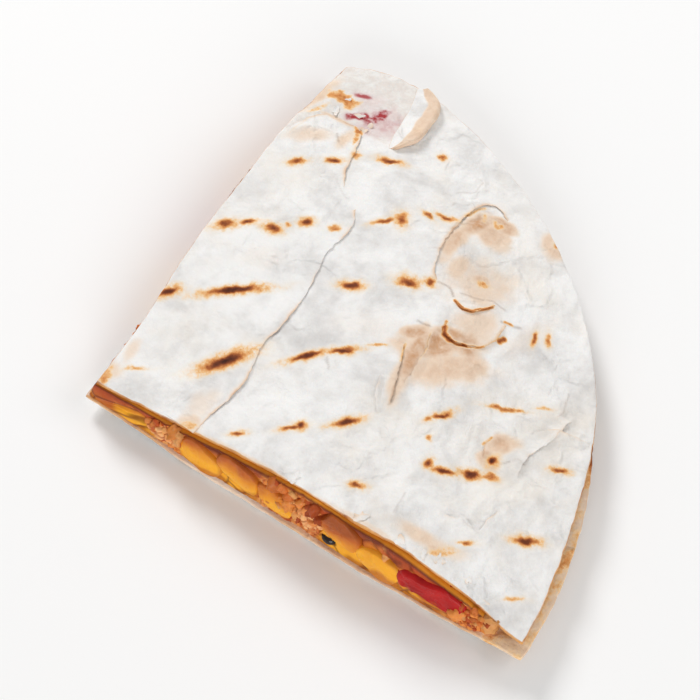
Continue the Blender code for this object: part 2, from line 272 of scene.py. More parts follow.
# Where the outer skin is gone, the dough beneath is stained orange and streaked with crimson:
# middle, radii, turn and strength.
SCABS = (
    (0.2, 1.6, 1.6, 2.6, 0, 0.36),
    (21.6, 1.0, 2.2, 1.3, 20, 0.26),
    (1.6, 85.2, 3.4, 1.7, 10, 0.44),
    (3.8, 84.0, 1.6, 1.0, -30, 0.40),
    (-0.6, 79.6, 3.0, 0.8, 70, 0.26),
    (9.9, 79.0, 1.0, 0.8, 60, 0.48),
    (11.0, 76.0, 2.2, 0.5, 100, 0.30),
)
BLUSHES = (
    (10.4, 85.6, 3.6, 1.5, 75, 1.00),
    (7.4, 83.2, 3.2, 1.1, 40, 1.00),
    (13.2, 84.6, 4.4, 3.6, 70, 0.46),
    (4.6, 88.6, 2.4, 0.9, 30, 0.70),
    (10.6, 81.6, 3.4, 2.4, 60, 0.40),
    (7.0, 88.0, 4.0, 3.0, 40, 0.24),
)

# Thin dark lines along splits and creases in the skin, painted shade in those cracks with a
# brown tint: the points and the width in millimetres, and the strength.
SEAMS = (
    (((13.6, 64.6), (17.4, 61.8), (19.2, 61.2)), 0.20, 0.20),
    (((45.2, 55.4), (47.6, 55.6), (49.4, 54.0)), 0.24, 0.55),
    (((50.2, 55.7), (52.9, 56.9), (55.9, 58.9), (59.1, 58.5)), 0.22, 0.36),
    (((60.2, 55.6), (62.3, 56.2), (64.0, 57.2)), 0.30, 0.50),
    (((47.0, 44.4), (49.6, 44.9)), 0.26, 0.50),
    (((47.9, 38.2), (50.0, 33.2), (52.0, 27.6), (52.8, 25.3)), 0.24, 0.45),
    (((77.1, 27.6), (79.5, 30.4), (81.0, 30.6)), 0.20, 0.40),
    (((66.1, 10.4), (66.9, 5.5)), 0.20, 0.25),
    (((77.7, 13.2), (80.0, 12.8), (81.4, 12.3)), 0.20, 0.35),
    (((39.2, 60.6), (41.2, 62.6)), 0.20, 0.30),
    (((36.6, 27.6), (38.2, 25.6)), 0.26, 0.30),
    (((35.5, 78.0), (38.2, 80.6), (38.0, 84.0)), 0.20, 0.25),
    (((79.3, 50.5), (80.6, 46.7), (80.9, 43.9)), 0.22, 0.32),
    (((6.9, 75.6), (8.4, 73.8)), 0.24, 0.45),
)

def smooth(x):
    """0 below 0, 1 above 1, and an S-shaped rise between."""
    x = np.clip(x, 0.0, 1.0)
    return x * x * (3 - 2 * x)


def mix(a, b, share):
    """From a at share 0 to b at share 1, along a straight line."""
    return a + (b - a) * share


def random_slopes(seed):
    """A shuffled list of whole numbers and a list of unit slopes, fixed by the seed."""
    rng = np.random.default_rng(seed)
    slopes = rng.normal(size=(256, 3))
    return rng.permutation(256), slopes / np.linalg.norm(slopes, axis=1, keepdims=True)


def hills(points, size, seed):
    """Gradient noise, from about -1 to 1, whose hills are about size across. Each corner of a
    cubic lattice has a fixed slope; a point's height is the blend of its eight corners' planes,
    with the S-shaped weight 6t^5 - 15t^4 + 10t^3 along each axis."""
    shuffle, slopes = random_slopes(seed)
    scaled = points / size
    cell = np.floor(scaled).astype(int)
    part = scaled - cell
    ease = part**3 * (part * (part * 6 - 15) + 10)
    total = np.zeros(points.shape[:-1])
    for corner in product((0, 1), repeat=3):
        at = (cell + corner) & 255
        pick = shuffle[(shuffle[(shuffle[at[..., 0]] + at[..., 1]) & 255] + at[..., 2]) & 255]
        weight = np.prod(np.where(np.array(corner) == 1, ease, 1 - ease), axis=-1)
        total += weight * np.sum(slopes[pick] * (part - corner), axis=-1)
    return 1.6 * total


def rough(points, size, seed, octaves=3):
    """Hills on hills: each further layer is half the size and half the height."""
    return sum(hills(points, size / 2**n, seed + n) / 2**n for n in range(octaves))


def ridges(points, size, seed):
    """Sharp crests, 1 on the lines where the hills cross zero and falling to 0 beside them."""
    return np.clip(1 - 3.2 * np.abs(hills(points, size, seed)), 0, 1) ** 2


def flat_points(x, y):
    """Plan points with a zero height, for noise that depends on the plan alone."""
    return np.stack([x, y, np.zeros_like(x)], axis=-1)


def near_line(x, y, corners):
    """Distance in plan from each point to a broken line."""
    best = np.full(x.shape, np.inf)
    for (ax, ay), (bx, by) in zip(corners, corners[1:]):
        dx, dy = bx - ax, by - ay
        share = np.clip(((x - ax) * dx + (y - ay) * dy) / (dx * dx + dy * dy), 0, 1)
        best = np.minimum(best, np.hypot(x - ax - share * dx, y - ay - share * dy))
    return best


def in_oval(x, y, middle_x, middle_y, along, across, degrees):
    """Distance from the middle of a turned oval, as a share of its radius that way."""
    turn = math.radians(degrees)
    dx, dy = x - middle_x, y - middle_y
    forward = (dx * math.cos(turn) + dy * math.sin(turn)) / along
    sideways = (dy * math.cos(turn) - dx * math.sin(turn)) / across
    return np.hypot(forward, sideways)


def waves(x, y):
    """Height of the gentle waves: the sum of a few plane waves."""
    height = np.zeros_like(x)
    for length, degrees, start, tall in WAVES:
        along = x * math.cos(math.radians(degrees)) + y * math.sin(math.radians(degrees))
        height += tall * np.sin(2 * math.pi * along / length + start)
    return height


def blisters(x, y):
    """Height of the blisters: each is a smooth hump."""
    height = np.zeros_like(x)
    for middle_x, middle_y, radius, tall in BLISTERS:
        height += tall * smooth(1 - np.hypot(x - middle_x, y - middle_y) / radius)
    return height


def sandwich_height(x, y):
    """Height of the whole sandwich by its share of the radius, between the named stations."""
    share = np.minimum(np.hypot(np.maximum(x, 0), np.maximum(y, 0)) / RADIUS, 1.0)
    stations, heights = zip(*SANDWICH)
    around = [np.interp(share + step, stations, heights) for step in (-0.03, 0.0, 0.03)]
    return sum(around) / 3 + waves(x, y) * smooth((1 - share) / 0.25)


def floor_side(x, y):
    """Underside of the lower tortilla: half of what the sandwich lacks of its resting height,
    eased so that it leaves the floor softly."""
    lack = np.maximum(0.0, RESTING - sandwich_height(x, y))
    return 0.5 * lack * lack / (lack + LIFT_EASE)


def crown(x, y):
    """Upper side of the upper tortilla. Beside the front cut it stands open towards the right
    corner, where the solids' own height is raised by a soft bump."""
    opened = OPENED * smooth((x - 0.060) / 0.016) * smooth((0.096 - x) / 0.010) * np.exp(-np.abs(y) / 0.007)
    return floor_side(x, y) + sandwich_height(x, y) + blisters(x, y) + opened


def quarter(u, v):
    """A square's points as points of the unit quarter disc, by the elliptical grid mapping
    x = u sqrt(1 - v v / 2), y = v sqrt(1 - u u / 2)."""
    return u * np.sqrt(1 - v * v / 2), v * np.sqrt(1 - u * u / 2)


def disc(u, v):
    """A square's points, from -1 to 1 each way, as points of the unit disc, the same way."""
    return quarter(u, v)


def sheet_plan(cells, lip, rim_lip, shrink):
    """Plan of a tortilla on a square grid of cells, as in the solids: the quarter disc grown by
    lip past the cuts, with a worn far corner, a shrunk rim and knife cuts that stray a little.
    The edges are nibbled by a fine ripple."""
    u, v = np.meshgrid(np.linspace(0, 1, cells + 1), np.linspace(0, 1, cells + 1), indexing="ij")
    p, q = quarter(u, v)
    degrees = np.degrees(np.arctan2(q, np.maximum(p, 1e-9)))
    worn = np.maximum(0.0, (degrees - CORNER_ANGLE) / (90 - CORNER_ANGLE)) ** 3
    radius = RADIUS * (1 - CORNER_CUT * worn - shrink * smooth(1 - np.abs(degrees - 15) / 20))
    reach = radius + lip + rim_lip * (1 - 2 * smooth(degrees / 60))
    along = p - q
    stray = RADIUS * (0.003 * np.sin(5.0 * along + 0.7) + 0.0012 * np.sin(17.0 * along))
    inward = stray * np.abs(along)
    x = -lip + reach * p - LEAN * RADIUS * q * (1 - p) + inward * (q > p)
    y = -lip + reach * q + inward * (p > q)
    nibble = rough(flat_points(x, y), 0.0030, 41)
    edge = 1 - smooth(np.minimum(np.minimum(u, v), np.minimum(1 - u, 1 - v)) / 0.03)
    x -= 0.28 * MM * nibble * edge * (x / RADIUS - 0.35)
    y -= 0.28 * MM * nibble * edge * (y / RADIUS - 0.35)
    return x, y


def edge_distance(shape):
    """For a grid of that shape, each point's distance from the grid's edge, in cells."""
    rows, columns = np.indices(shape)
    nearest = np.minimum(rows, shape[0] - 1 - rows)
    return np.minimum(nearest, np.minimum(columns, shape[1] - 1 - columns))


def loop_round(rows, columns):
    """Row and column numbers of a grid's edge points, once round."""
    i = np.concatenate([np.arange(rows - 1), np.full(columns - 1, rows - 1),
                        np.arange(rows - 1, 0, -1), np.zeros(columns - 1, int)])
    j = np.concatenate([np.zeros(rows - 1, int), np.arange(columns - 1),
                        np.full(rows - 1, columns - 1), np.arange(columns - 1, 0, -1)])
    return i, j


def grid_faces(rows, columns, first=0):
    """Four-sided faces of a grid of points numbered row by row from first."""
    number = first + np.arange(rows * columns).reshape(rows, columns)
    corners = (number[:-1, :-1], number[1:, :-1], number[1:, 1:], number[:-1, 1:])
    return np.stack([part.ravel() for part in corners], axis=1)


def closed_sheet(top, under, bulge, steps=5, coarse=1):
    """A closed thin body between two grids of points of one shape. Its wall is half an oval
    carried round the edge: from the top point, through a point that stands bulge outside the
    edge, to the under point. Of the underside only every coarse-th row and column is kept.
    Returns points, faces, and each point's side: 0 on the top, 1 on the underside and between
    on the wall."""
    rows, columns = top.shape[:2]
    i, j = loop_round(rows, columns)
    inner = (np.clip(i, 1, rows - 2), np.clip(j, 1, columns - 2))
    middle = (top[i, j] + under[i, j]) / 2
    half = (top[i, j] - under[i, j]) / 2
    outward = middle - (top[inner] + under[inner]) / 2
    outward /= np.linalg.norm(outward, axis=1, keepdims=True)
    angle = math.pi * np.arange(1, steps)[:, None, None] / steps
    wall = middle + half * np.cos(angle) + outward * bulge * np.sin(angle)
    base = under[::coarse, ::coarse]
    count, base_count, round_count = rows * columns, base.shape[0] * base.shape[1], len(i)
    wall_number = count + base_count + np.arange((steps - 1) * round_count)
    rings = np.concatenate([(i * columns + j)[None], wall_number.reshape(steps - 1, round_count)])
    after = np.roll(rings, -1, axis=1)
    sides = np.stack([rings[1:], after[1:], after[:-1], rings[:-1]], axis=-1).reshape(-1, 4)
    base_i, base_j = loop_round(*base.shape[:2])
    base_loop = count + base_i * base.shape[1] + base_j
    last = np.concatenate([rings[-1], rings[-1][:1]])
    spans = [last[step : len(last) - coarse + step : coarse] for step in range(coarse, -1, -1)]
    foot = np.stack([base_loop, np.roll(base_loop, -1), *spans], axis=1)
    faces = [grid_faces(rows, columns), grid_faces(*base.shape[:2], count)[:, ::-1], sides, foot]
    points = np.concatenate([top.reshape(-1, 3), base.reshape(-1, 3), wall.reshape(-1, 3)])
    part = np.repeat(np.arange(1, steps) / steps, round_count)
    side = np.concatenate([np.zeros(count), np.ones(base_count), part])
    return points, [face for block in faces for face in block.tolist()], side


def closed_ball(rings):
    """A closed body through rings of points, (ring, around, 3), shut by a pole at each end."""
    count, around = rings.shape[:2]
    number = np.arange(count * around).reshape(count, around)
    after = np.roll(number, -1, axis=1)
    quads = np.stack([number[:-1], after[:-1], after[1:], number[1:]], axis=-1).reshape(-1, 4)
    first, last = count * around, count * around + 1
    start = np.stack([np.full(around, first), after[0], number[0]], axis=-1)
    end = np.stack([np.full(around, last), number[-1], after[-1]], axis=-1)
    points = np.concatenate([rings.reshape(-1, 3), [rings[0].mean(0)], [rings[-1].mean(0)]])
    return points, quads.tolist() + start.tolist() + end.tolist()


def facing_out(points, faces):
    """The faces, turned over if they enclose a negative volume."""
    fans = np.array([face[:3] for face in faces])
    a, b, c = points[fans[:, 0]], points[fans[:, 1]], points[fans[:, 2]]
    volume = np.sum(np.einsum("ij,ij->i", a - points.mean(0), np.cross(b - a, c - a)))
    return [tuple(face[::-1]) for face in faces] if volume < 0 else faces


def make_piece(name, points, faces, material, paints=None, replaced=()):
    """A new smooth object that rides with the quarter. Its points are measured from the tip of
    the quarter, and paints are values or colours kept at each point."""
    mesh = bpy.data.meshes.new(name)
    placed = points + np.array([TIP[0], TIP[1], 0.0])
    faces = faces.tolist() if isinstance(faces, np.ndarray) else faces
    mesh.from_pydata(placed.tolist(), [], facing_out(points, faces))
    mesh.shade_smooth()
    for key, values in (paints or {}).items():
        if values.ndim == 1:
            layer = mesh.attributes.new(key, "FLOAT", "POINT")
            layer.data.foreach_set("value", values.astype(np.float32))
        else:
            layer = mesh.attributes.new(key, "FLOAT_COLOR", "POINT")
            opaque = np.concatenate([values, np.ones((len(values), 1))], axis=1)
            layer.data.foreach_set("color", opaque.astype(np.float32).ravel())
    mesh.materials.append(material)
    piece = bpy.data.objects.new(name, mesh)
    bpy.context.scene.collection.objects.link(piece)
    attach(piece, "root")
    if replaced:
        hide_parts(*replaced)
    return piece


# Materials


class Shading:
    """A short hand for building a node tree: add makes a node, wire joins two sockets."""

    def __init__(self, tree):
        self.tree = tree

    def add(self, kind, values=None, **settings):
        """A node of that kind; values are its input sockets', by name or number."""
        made = self.tree.nodes.new(kind)
        for key, value in settings.items():
            setattr(made, key, value)
        for key, value in (values or {}).items():
            self.feed(made.inputs[key], value)
        return made

    def feed(self, socket, value):
        """Joins the socket to another socket, or sets it to a plain value."""
        if isinstance(value, bpy.types.NodeSocket):
            self.tree.links.new(value, socket)
        else:
            socket.default_value = value

    def math(self, operation, *values, clamp=False):
        """A Math node's result."""
        made = self.add("ShaderNodeMath", operation=operation, use_clamp=clamp)
        for socket, value in zip(made.inputs, values):
            self.feed(socket, value)
        return made.outputs[0]

    def blend(self, share, a, b, kind="MIX"):
        """From colour a to colour b by a share from 0 to 1."""
        made = self.add("ShaderNodeMix", data_type="RGBA", blend_type=kind)
        for number, value in ((0, share), (6, a), (7, b)):
            self.feed(made.inputs[number], value)
        return made.outputs[2]

    def spread(self, value, low, high, to_low=0.0, to_high=1.0):
        """A value carried smoothly from one range to another."""
        made = self.add("ShaderNodeMapRange", interpolation_type="SMOOTHSTEP")
        for number, part in enumerate((value, low, high, to_low, to_high)):
            self.feed(made.inputs[number], part)
        return made.outputs[0]

    def noise(self, place, scale, detail=4.0, rough_share=0.55, distortion=0.0):
        """Noise from 0 to 1 at a place, with scale hills to the metre."""
        values = {"Vector": place, "Scale": scale, "Detail": detail,
                  "Roughness": rough_share, "Distortion": distortion}
        return self.add("ShaderNodeTexNoise", values).outputs["Fac"]

    def place(self):
        """The point's own place on the piece."""
        return self.add("ShaderNodeTexCoord").outputs["Object"]

    def kept(self, name, output="Fac"):
        """A value or colour kept at the mesh's points."""
        return self.add("ShaderNodeAttribute", attribute_name=name).outputs[output]

    def ramp(self, value, stops):
        """Colours along a value."""
        made = self.add("ShaderNodeValToRGB", {"Fac": value})
        stop_list = made.color_ramp.elements
        while len(stop_list) < len(stops):
            stop_list.new(0.5)
        for stop, (at, colour) in zip(stop_list, stops):
            stop.position = at
            stop.color = colour
        return made.outputs["Color"]


def group(name, takes, gives):
    """A shader node group with the named inputs, each with its default, and outputs. Returns it
    with its Shading, its inputs' sockets by name and a function that feeds an output."""
    tree = bpy.data.node_groups.new(name, "ShaderNodeTree")
    for label, default in takes.items():
        kind = "NodeSocketColor" if isinstance(default, tuple) else "NodeSocketFloat"
        socket = tree.interface.new_socket(name=label, in_out="INPUT", socket_type=kind)
        socket.default_value = default
    for label, kind in gives.items():
        tree.interface.new_socket(name=label, in_out="OUTPUT", socket_type=kind)
    shade = Shading(tree)
    entry = shade.add("NodeGroupInput")
    leave = shade.add("NodeGroupOutput")
    return tree, shade, entry.outputs, lambda label, value: shade.feed(leave.inputs[label], value)


def browning_group():
    """Scorching: heat, broken up by noise, runs from tan through brown to near black, and
    Amount says how far it hides what is beneath."""
    takes = {"Heat": 0.0, "Grain": 900.0, "Breakup": 0.25}
    gives = {"Color": "NodeSocketColor", "Amount": "NodeSocketFloat"}
    tree, shade, given, give = group("browning", takes, gives)
    place = shade.place()
    fine = shade.math("SUBTRACT", shade.noise(place, given["Grain"], 6.0, 0.72), 0.5)
    broken = shade.math("MULTIPLY", shade.math("MULTIPLY", fine, given["Breakup"]), 2.0)
    present = shade.spread(given["Heat"], 0.02, 0.30)
    heat = shade.math("ADD", given["Heat"], shade.math("MULTIPLY", broken, present), clamp=True)
    give("Color", shade.ramp(heat, (
        (0.00, (0.90, 0.85, 0.78, 1.0)),
        (0.12, (0.89, 0.76, 0.60, 1.0)),
        (0.25, (0.88, 0.57, 0.28, 1.0)),
        (0.38, (0.72, 0.31, 0.095, 1.0)),
        (0.53, (0.42, 0.12, 0.030, 1.0)),
        (0.72, (0.18, 0.040, 0.011, 1.0)),
        (1.00, (0.055, 0.009, 0.003, 1.0)),
    )))
    give("Amount", shade.spread(heat, 0.02, 0.30))
    return tree


def mottle_group():
    """Blotches: noise at a wide and a fine scale, as a mask from 0 to 1 about a middle share."""
    takes = {"Wide": 90.0, "Fine": 700.0, "Share": 0.5, "Softness": 0.12}
    tree, shade, given, give = group("mottle", takes, {"Mask": "NodeSocketFloat"})
    place = shade.place()
    wide = shade.math("MULTIPLY", shade.noise(place, given["Wide"], 3.0, 0.5, 0.6), 0.72)
    fine = shade.math("MULTIPLY", shade.noise(place, given["Fine"], 4.0, 0.6), 0.28)
    both = shade.math("ADD", wide, fine)
    edge = shade.math("SUBTRACT", 1.0, given["Share"])
    low = shade.math("SUBTRACT", edge, given["Softness"])
    high = shade.math("ADD", edge, given["Softness"])
    give("Mask", shade.spread(both, low, high))
    return tree


def relief_group():
    """Height for a bump: fine pitted grain on soft unevenness, with sharp crinkles along the
    edges of warped cells wherever a wide noise is high."""
    takes = {"Grain": 1500.0, "Unevenness": 240.0, "Pits": 0.35, "Crinkles": 0.0, "Facets": 190.0}
    tree, shade, given, give = group("relief", takes, {"Height": "NodeSocketFloat"})
    place = shade.place()
    grain = shade.math("MULTIPLY", shade.noise(place, given["Grain"], 4.0, 0.6), 0.35)
    soft = shade.math("MULTIPLY", shade.noise(place, given["Unevenness"], 3.0, 0.5, 0.4), 0.65)
    dots = shade.add("ShaderNodeTexVoronoi", {"Vector": place, "Scale": given["Grain"]})
    pits = shade.spread(dots.outputs["Distance"], 0.0, 0.35, 1.0, 0.0)
    dents = shade.math("MULTIPLY", pits, given["Pits"])
    warp = shade.add("ShaderNodeTexNoise", {"Vector": place, "Scale": 120.0, "Detail": 3.0})
    pushed = shade.add("ShaderNodeVectorMath", {0: warp.outputs["Color"], "Scale": 0.012}, operation="SCALE")
    moved = shade.add("ShaderNodeVectorMath", {0: place, 1: pushed.outputs[0]}, operation="ADD")
    facet = shade.add(
        "ShaderNodeTexVoronoi", {"Vector": moved.outputs[0], "Scale": given["Facets"]}, feature="DISTANCE_TO_EDGE"
    )
    crest = shade.spread(facet.outputs["Distance"], 0.0, 0.14, 1.0, 0.0)
    where = shade.spread(shade.noise(place, 70.0, 3.0, 0.5), 0.42, 0.62)
    crinkled = shade.math("MULTIPLY", shade.math("MULTIPLY", crest, where), given["Crinkles"])
    total = shade.math("SUBTRACT", shade.math("ADD", grain, soft), dents)
    give("Height", shade.math("ADD", total, crinkled))
    return tree


def wet_group():
    """Patchy gloss: roughness between a wet and a dry value, by noise."""
    takes = {"Wet": 0.15, "Dry": 0.5, "Scale": 260.0}
    tree, shade, given, give = group("wet", takes, {"Roughness": "NodeSocketFloat"})
    patches = shade.noise(shade.place(), given["Scale"], 3.0, 0.55)
    give("Roughness", shade.spread(patches, 0.32, 0.68, given["Wet"], given["Dry"]))
    return tree


def effect(shade, name, values):
    """A node group placed in a material, with that material's values. Returns its outputs."""
    makers = {"browning": browning_group, "mottle": mottle_group,
              "relief": relief_group, "wet": wet_group}
    tree = bpy.data.node_groups.get(name) or makers[name]()
    return shade.add("ShaderNodeGroup", values, node_tree=tree).outputs


def new_material(name, gloss):
    """A material with its Shading and its Principled shader, with that coat weight. One of that
    name is emptied and made anew, so that the pieces that have it keep it."""
    made = bpy.data.materials.get(name) or bpy.data.materials.new(name)
    made.use_nodes = True
    made.node_tree.nodes.clear()
    shade = Shading(made.node_tree)
    shader = shade.add("ShaderNodeBsdfPrincipled", {"Coat Weight": gloss, "Coat Roughness": 0.12})
    shade.add("ShaderNodeOutputMaterial", {"Surface": shader.outputs["BSDF"]})
    return made, shade, shader


def bump(shade, shader, height, strength, distance):
    """Feeds a height to the shader's normal."""
    node = shade.add("ShaderNodeBump", {"Strength": strength, "Distance": distance, "Height": height})
    shade.feed(shader.inputs["Normal"], node.outputs["Normal"])


def flour_skin(colours):
    """Grilled tortilla: floury white with grey blotches, partly the skin's own cool tone and partly
    painted shade standing in for the soft shadows of its crumples, and creamy blotches; then
    toasted tan, the paler dough under peeled skin, a pink blush, sauce stains, dark seams of
    painted shade in its splits and creases, tinted brown, and scorched grill marks."""
    made, shade, shader = new_material("flour_skin", 0.0)
    # Grey blotches: partly the skin's own cool tone, partly painted shade for the soft shadows of its crumples.
    grey_tone_and_painted_shade = effect(shade, "mottle", {"Wide": 95.0, "Fine": 420.0, "Share": 0.44, "Softness": 0.18})
    cream = effect(shade, "mottle", {"Wide": 44.0, "Fine": 260.0, "Share": 0.40, "Softness": 0.12})
    flecks = effect(shade, "mottle", {"Wide": 330.0, "Fine": 1300.0, "Share": 0.30, "Softness": 0.05})
    base = shade.blend(grey_tone_and_painted_shade["Mask"], colours.flour, colours.flour_grey_and_painted_shade)
    base = shade.blend(shade.math("MULTIPLY", cream["Mask"], 0.55), base, colours.cream)
    base = shade.blend(shade.math("MULTIPLY", flecks["Mask"], 0.35), base, (0.95, 0.95, 0.94, 1.0))
    spots = effect(shade, "mottle", {"Wide": 480.0, "Fine": 1500.0, "Share": 0.52, "Softness": 0.24})
    patchy = shade.math("ADD", shade.math("MULTIPLY", spots["Mask"], 0.75), 0.30)
    base = shade.blend(shade.math("MULTIPLY", shade.kept("peel"), 0.90), base,
                       shade.blend(spots["Mask"], colours.dough, colours.dough_shade))
    warm = shade.kept("toast")
    base = shade.blend(shade.spread(warm, 0.0, 0.45, 0.0, 0.85), base, colours.peach)
    toasted = shade.math("MULTIPLY", shade.spread(warm, 0.18, 1.1), patchy, clamp=True)
    base = shade.blend(toasted, base, colours.toast)
    streaks = effect(shade, "mottle", {"Wide": 520.0, "Fine": 1600.0, "Share": 0.54, "Softness": 0.10})
    blush = shade.kept("blush")
    deep = shade.math("MULTIPLY", shade.spread(blush, 0.30, 0.80), streaks["Mask"])
    base = shade.blend(shade.math("MULTIPLY", blush, 0.85), base, colours.blush)
    base = shade.blend(deep, base, (0.40, 0.035, 0.040, 1.0))
    stain = shade.kept("stain")
    stain_depth = effect(shade, "mottle", {"Wide": 170.0, "Fine": 620.0, "Share": 0.42, "Softness": 0.2})
    sauce = shade.blend(stain_depth["Mask"], colours.stain_pale, colours.stain_deep)
    base = shade.blend(shade.math("MULTIPLY", stain, 0.96), base, sauce)
    # Seams: painted shade along the skin's splits and creases, in a dark brown.
    base = shade.blend(shade.kept("seam"), base, (0.26, 0.17, 0.12, 1.0))
    scorched = effect(shade, "browning", {"Heat": shade.kept("char"), "Grain": 800.0, "Breakup": 0.34})
    base = shade.blend(scorched["Amount"], base, scorched["Color"])
    shade.feed(shader.inputs["Base Color"], base)
    shade.feed(shader.inputs["Roughness"], shade.spread(stain, 0.2, 0.9, 0.78, 0.36))
    shader.inputs["Subsurface Weight"].default_value = 0.10
    shader.inputs["Subsurface Radius"].default_value = (0.0012, 0.0009, 0.0007)
    shader.inputs["Specular IOR Level"].default_value = 0.28
    values = {"Grain": 1300.0, "Unevenness": 300.0, "Pits": 0.03, "Crinkles": 0.48, "Facets": 92.0}
    bump(shade, shader, effect(shade, "relief", values)["Height"], 0.85, 0.00060)
    return made


def painted_food(name, gloss, wet, dry, grain, bump_depth, see_through=0.0):
    """Moist food whose colour is kept at its points and varied by fine blotches. Where it is
    smooth, as the gloss kept at its points says, it is also wetter."""
    made, shade, shader = new_material(name, gloss)
    tint = shade.kept("tint", "Color")
    fine = effect(shade, "mottle", {"Wide": grain * 0.25, "Fine": grain, "Share": 0.5, "Softness": 0.18})
    deep = shade.blend(0.50, tint, (0.42, 0.10, 0.02, 1.0), "MULTIPLY")
    shaded = shade.blend(shade.math("MULTIPLY", fine["Mask"], 0.26), tint, deep)
    scorched = effect(shade, "browning", {"Heat": shade.kept("char"), "Grain": 1600.0, "Breakup": 0.3})
    shade.feed(shader.inputs["Base Color"], shade.blend(scorched["Amount"], shaded, scorched["Color"]))
    patchy = effect(shade, "wet", {"Wet": wet, "Dry": dry})["Roughness"]
    drier = shade.math("MULTIPLY", shade.math("SUBTRACT", 1.0, shade.kept("gloss")), 0.22)
    shade.feed(shader.inputs["Roughness"], shade.math("ADD", patchy, drier, clamp=True))
    shader.inputs["Subsurface Weight"].default_value = see_through
    shader.inputs["Specular IOR Level"].default_value = 0.15
    shader.inputs["Subsurface Radius"].default_value = (0.0022, 0.0010, 0.0004)
    height = effect(shade, "relief", {"Grain": grain * 1.6, "Unevenness": grain * 0.4, "Pits": 0.2})
    bump(shade, shader, height["Height"], 0.6, bump_depth)
    return made


# Tortillas


def left_cut(y):
    """Sideways place of the left cut at a distance y back from the tip."""
    q = np.clip(y / RADIUS, 0, 1)
    stray = 0.003 * np.sin(0.7 - 5.0 * q) - 0.0012 * np.sin(17.0 * q)
    return -LEAN * RADIUS * q + RADIUS * stray * q


def front_cut(x):
    """Place in Y of the front cut at a distance x from the tip."""
    p = np.clip(x / RADIUS, 0, 1)
    return RADIUS * (0.003 * np.sin(5.0 * p + 0.7) + 0.0012 * np.sin(17.0 * p)) * p


def crumples(at, size, seed):
    """Paper-like crumples, from 0 to 1: flat facets that meet in crests wherever gradient noise
    crosses zero, 1 - 2 |noise|, on points pushed about by softer noise."""
    pushed = at + 0.30 * size * np.stack([hills(at, size, seed + step) for step in range(3)], axis=-1)
    return 1 - np.minimum(2 * np.abs(hills(pushed, size, seed + 5)), 1)


def upper_relief(x, y, sizes):
    """Height of the upper skin's own relief: soft hills, crumples at three sizes that grow
    towards the right corner, fine unevenness, and the named creases, each a sharp-topped ridge
    exp(-(d / w)^1.2) over its distance d."""
    at = flat_points(x, y)
    busy = 0.70 + 0.45 * smooth((x - 0.4 * y - 0.012) / 0.050)
    patch = smooth(0.60 + 0.9 * hills(at, 0.026, 23))
    relief = 0.32 * MM * rough(at, 0.0150, 11) + 0.030 * MM * rough(at, 0.0018, 15)
    relief += busy * 0.66 * MM * (crumples(at, 0.0210, 31) - 0.5)
    relief += busy * patch * 0.52 * MM * (crumples(at, 0.0100, 35) - 0.5)
    relief += busy * (0.3 + 0.7 * patch) * 0.22 * MM * (crumples(at, 0.0046, 37) - 0.5)
    for corners, tall, wide in CREASES:
        distance = near_line(x, y, np.array(corners) * MM)
        distance = np.abs(distance + 0.30 * MM * hills(at, 0.004, 29))
        relief += tall * MM * np.exp(-np.power(distance / (wide * MM), 1.2)) * (0.7 + 0.5 * hills(at, 0.009, 33))
    return sizes.relief * relief


def heat_at(x, y, rows, wobble=0.50):
    """How scorched the skin is by the grill's bars, from 0 to 1. Each mark is an oval with a
    small dark core and a wide faint halo, 0.60 exp(-(d / 0.54)^2.6) + 0.40 exp(-(d / 1.5)^2) at its
    distance d, and its outline is shaken by noise."""
    at = flat_points(x, y)
    x = x + wobble * MM * rough(at, 0.0026, 51)
    y = y + wobble * MM * rough(at, 0.0026, 61)
    slant = math.radians(GRILL_SLANT)
    heat = np.zeros_like(x)
    for across, marks in rows:
        for along, shift, long, wide, dark, turn in marks:
            middle_x = along * math.cos(slant) - (across + shift) * math.sin(slant)
            middle_y = along * math.sin(slant) + (across + shift) * math.cos(slant)
            oval = in_oval(x, y, middle_x * MM, middle_y * MM, 0.54 * long * MM,
                           0.48 * wide * MM, GRILL_SLANT + turn)
            core = 0.60 * np.exp(-np.power(oval / 0.54, 2.6)) + 0.40 * np.exp(-np.power(oval / 1.5, 2))
            heat = np.maximum(heat, dark * core)
    return heat


def patches_at(x, y, patches, size=0.0060, seed=71):
    """Soft ovals with noisy outlines, the strongest at each point."""
    at = flat_points(x, y)
    shake = 0.32 * rough(at, size, seed)
    strongest = np.zeros_like(x)
    for middle_x, middle_y, along, across, turn, strength in patches:
        oval = in_oval(x, y, middle_x * MM, middle_y * MM, along * MM, across * MM, turn)
        strongest = np.maximum(strongest, strength * smooth(1.15 - 0.70 * oval + shake))
    return strongest


def lines_at(x, y, lines):
    """Dark lines, exp(-(d / w)^2) at the distance d from the nearest of the named lines."""
    at = flat_points(x, y)
    x = x + 0.35 * MM * hills(at, 0.0035, 73) + 0.12 * MM * hills(at, 0.0010, 74)
    y = y + 0.35 * MM * hills(at, 0.0035, 79) + 0.12 * MM * hills(at, 0.0010, 76)
    dark = np.zeros_like(x)
    for corners, wide, strength in lines:
        distance = near_line(x, y, np.array(corners) * MM) / (wide * MM)
        dark = np.maximum(dark, strength * np.exp(-distance * distance))
    return dark


def peel_at(x, y):
    """Where the outer skin has come away at the far corner, between the torn edge and the
    curled flap."""
    torn = np.interp(x, *zip(*TORN_EDGE)) + 0.35 * MM * hills(flat_points(x, y), 0.0022, 81)
    behind = smooth((y - torn) / 0.0005)
    inside = smooth((0.0165 - x - 0.10 * (y - 0.085)) / 0.0010)
    return behind * inside


# How stained the lower tortilla's lip is, by distance along the front cut.
LIP_STAIN = (
    (0.000, 0.95), (0.014, 0.90), (0.020, 0.60), (0.024, 0.12), (0.038, 0.10), (0.044, 0.62),
    (0.060, 0.74), (0.088, 0.78), (0.095, 0.50), (0.100, 0.40),
)


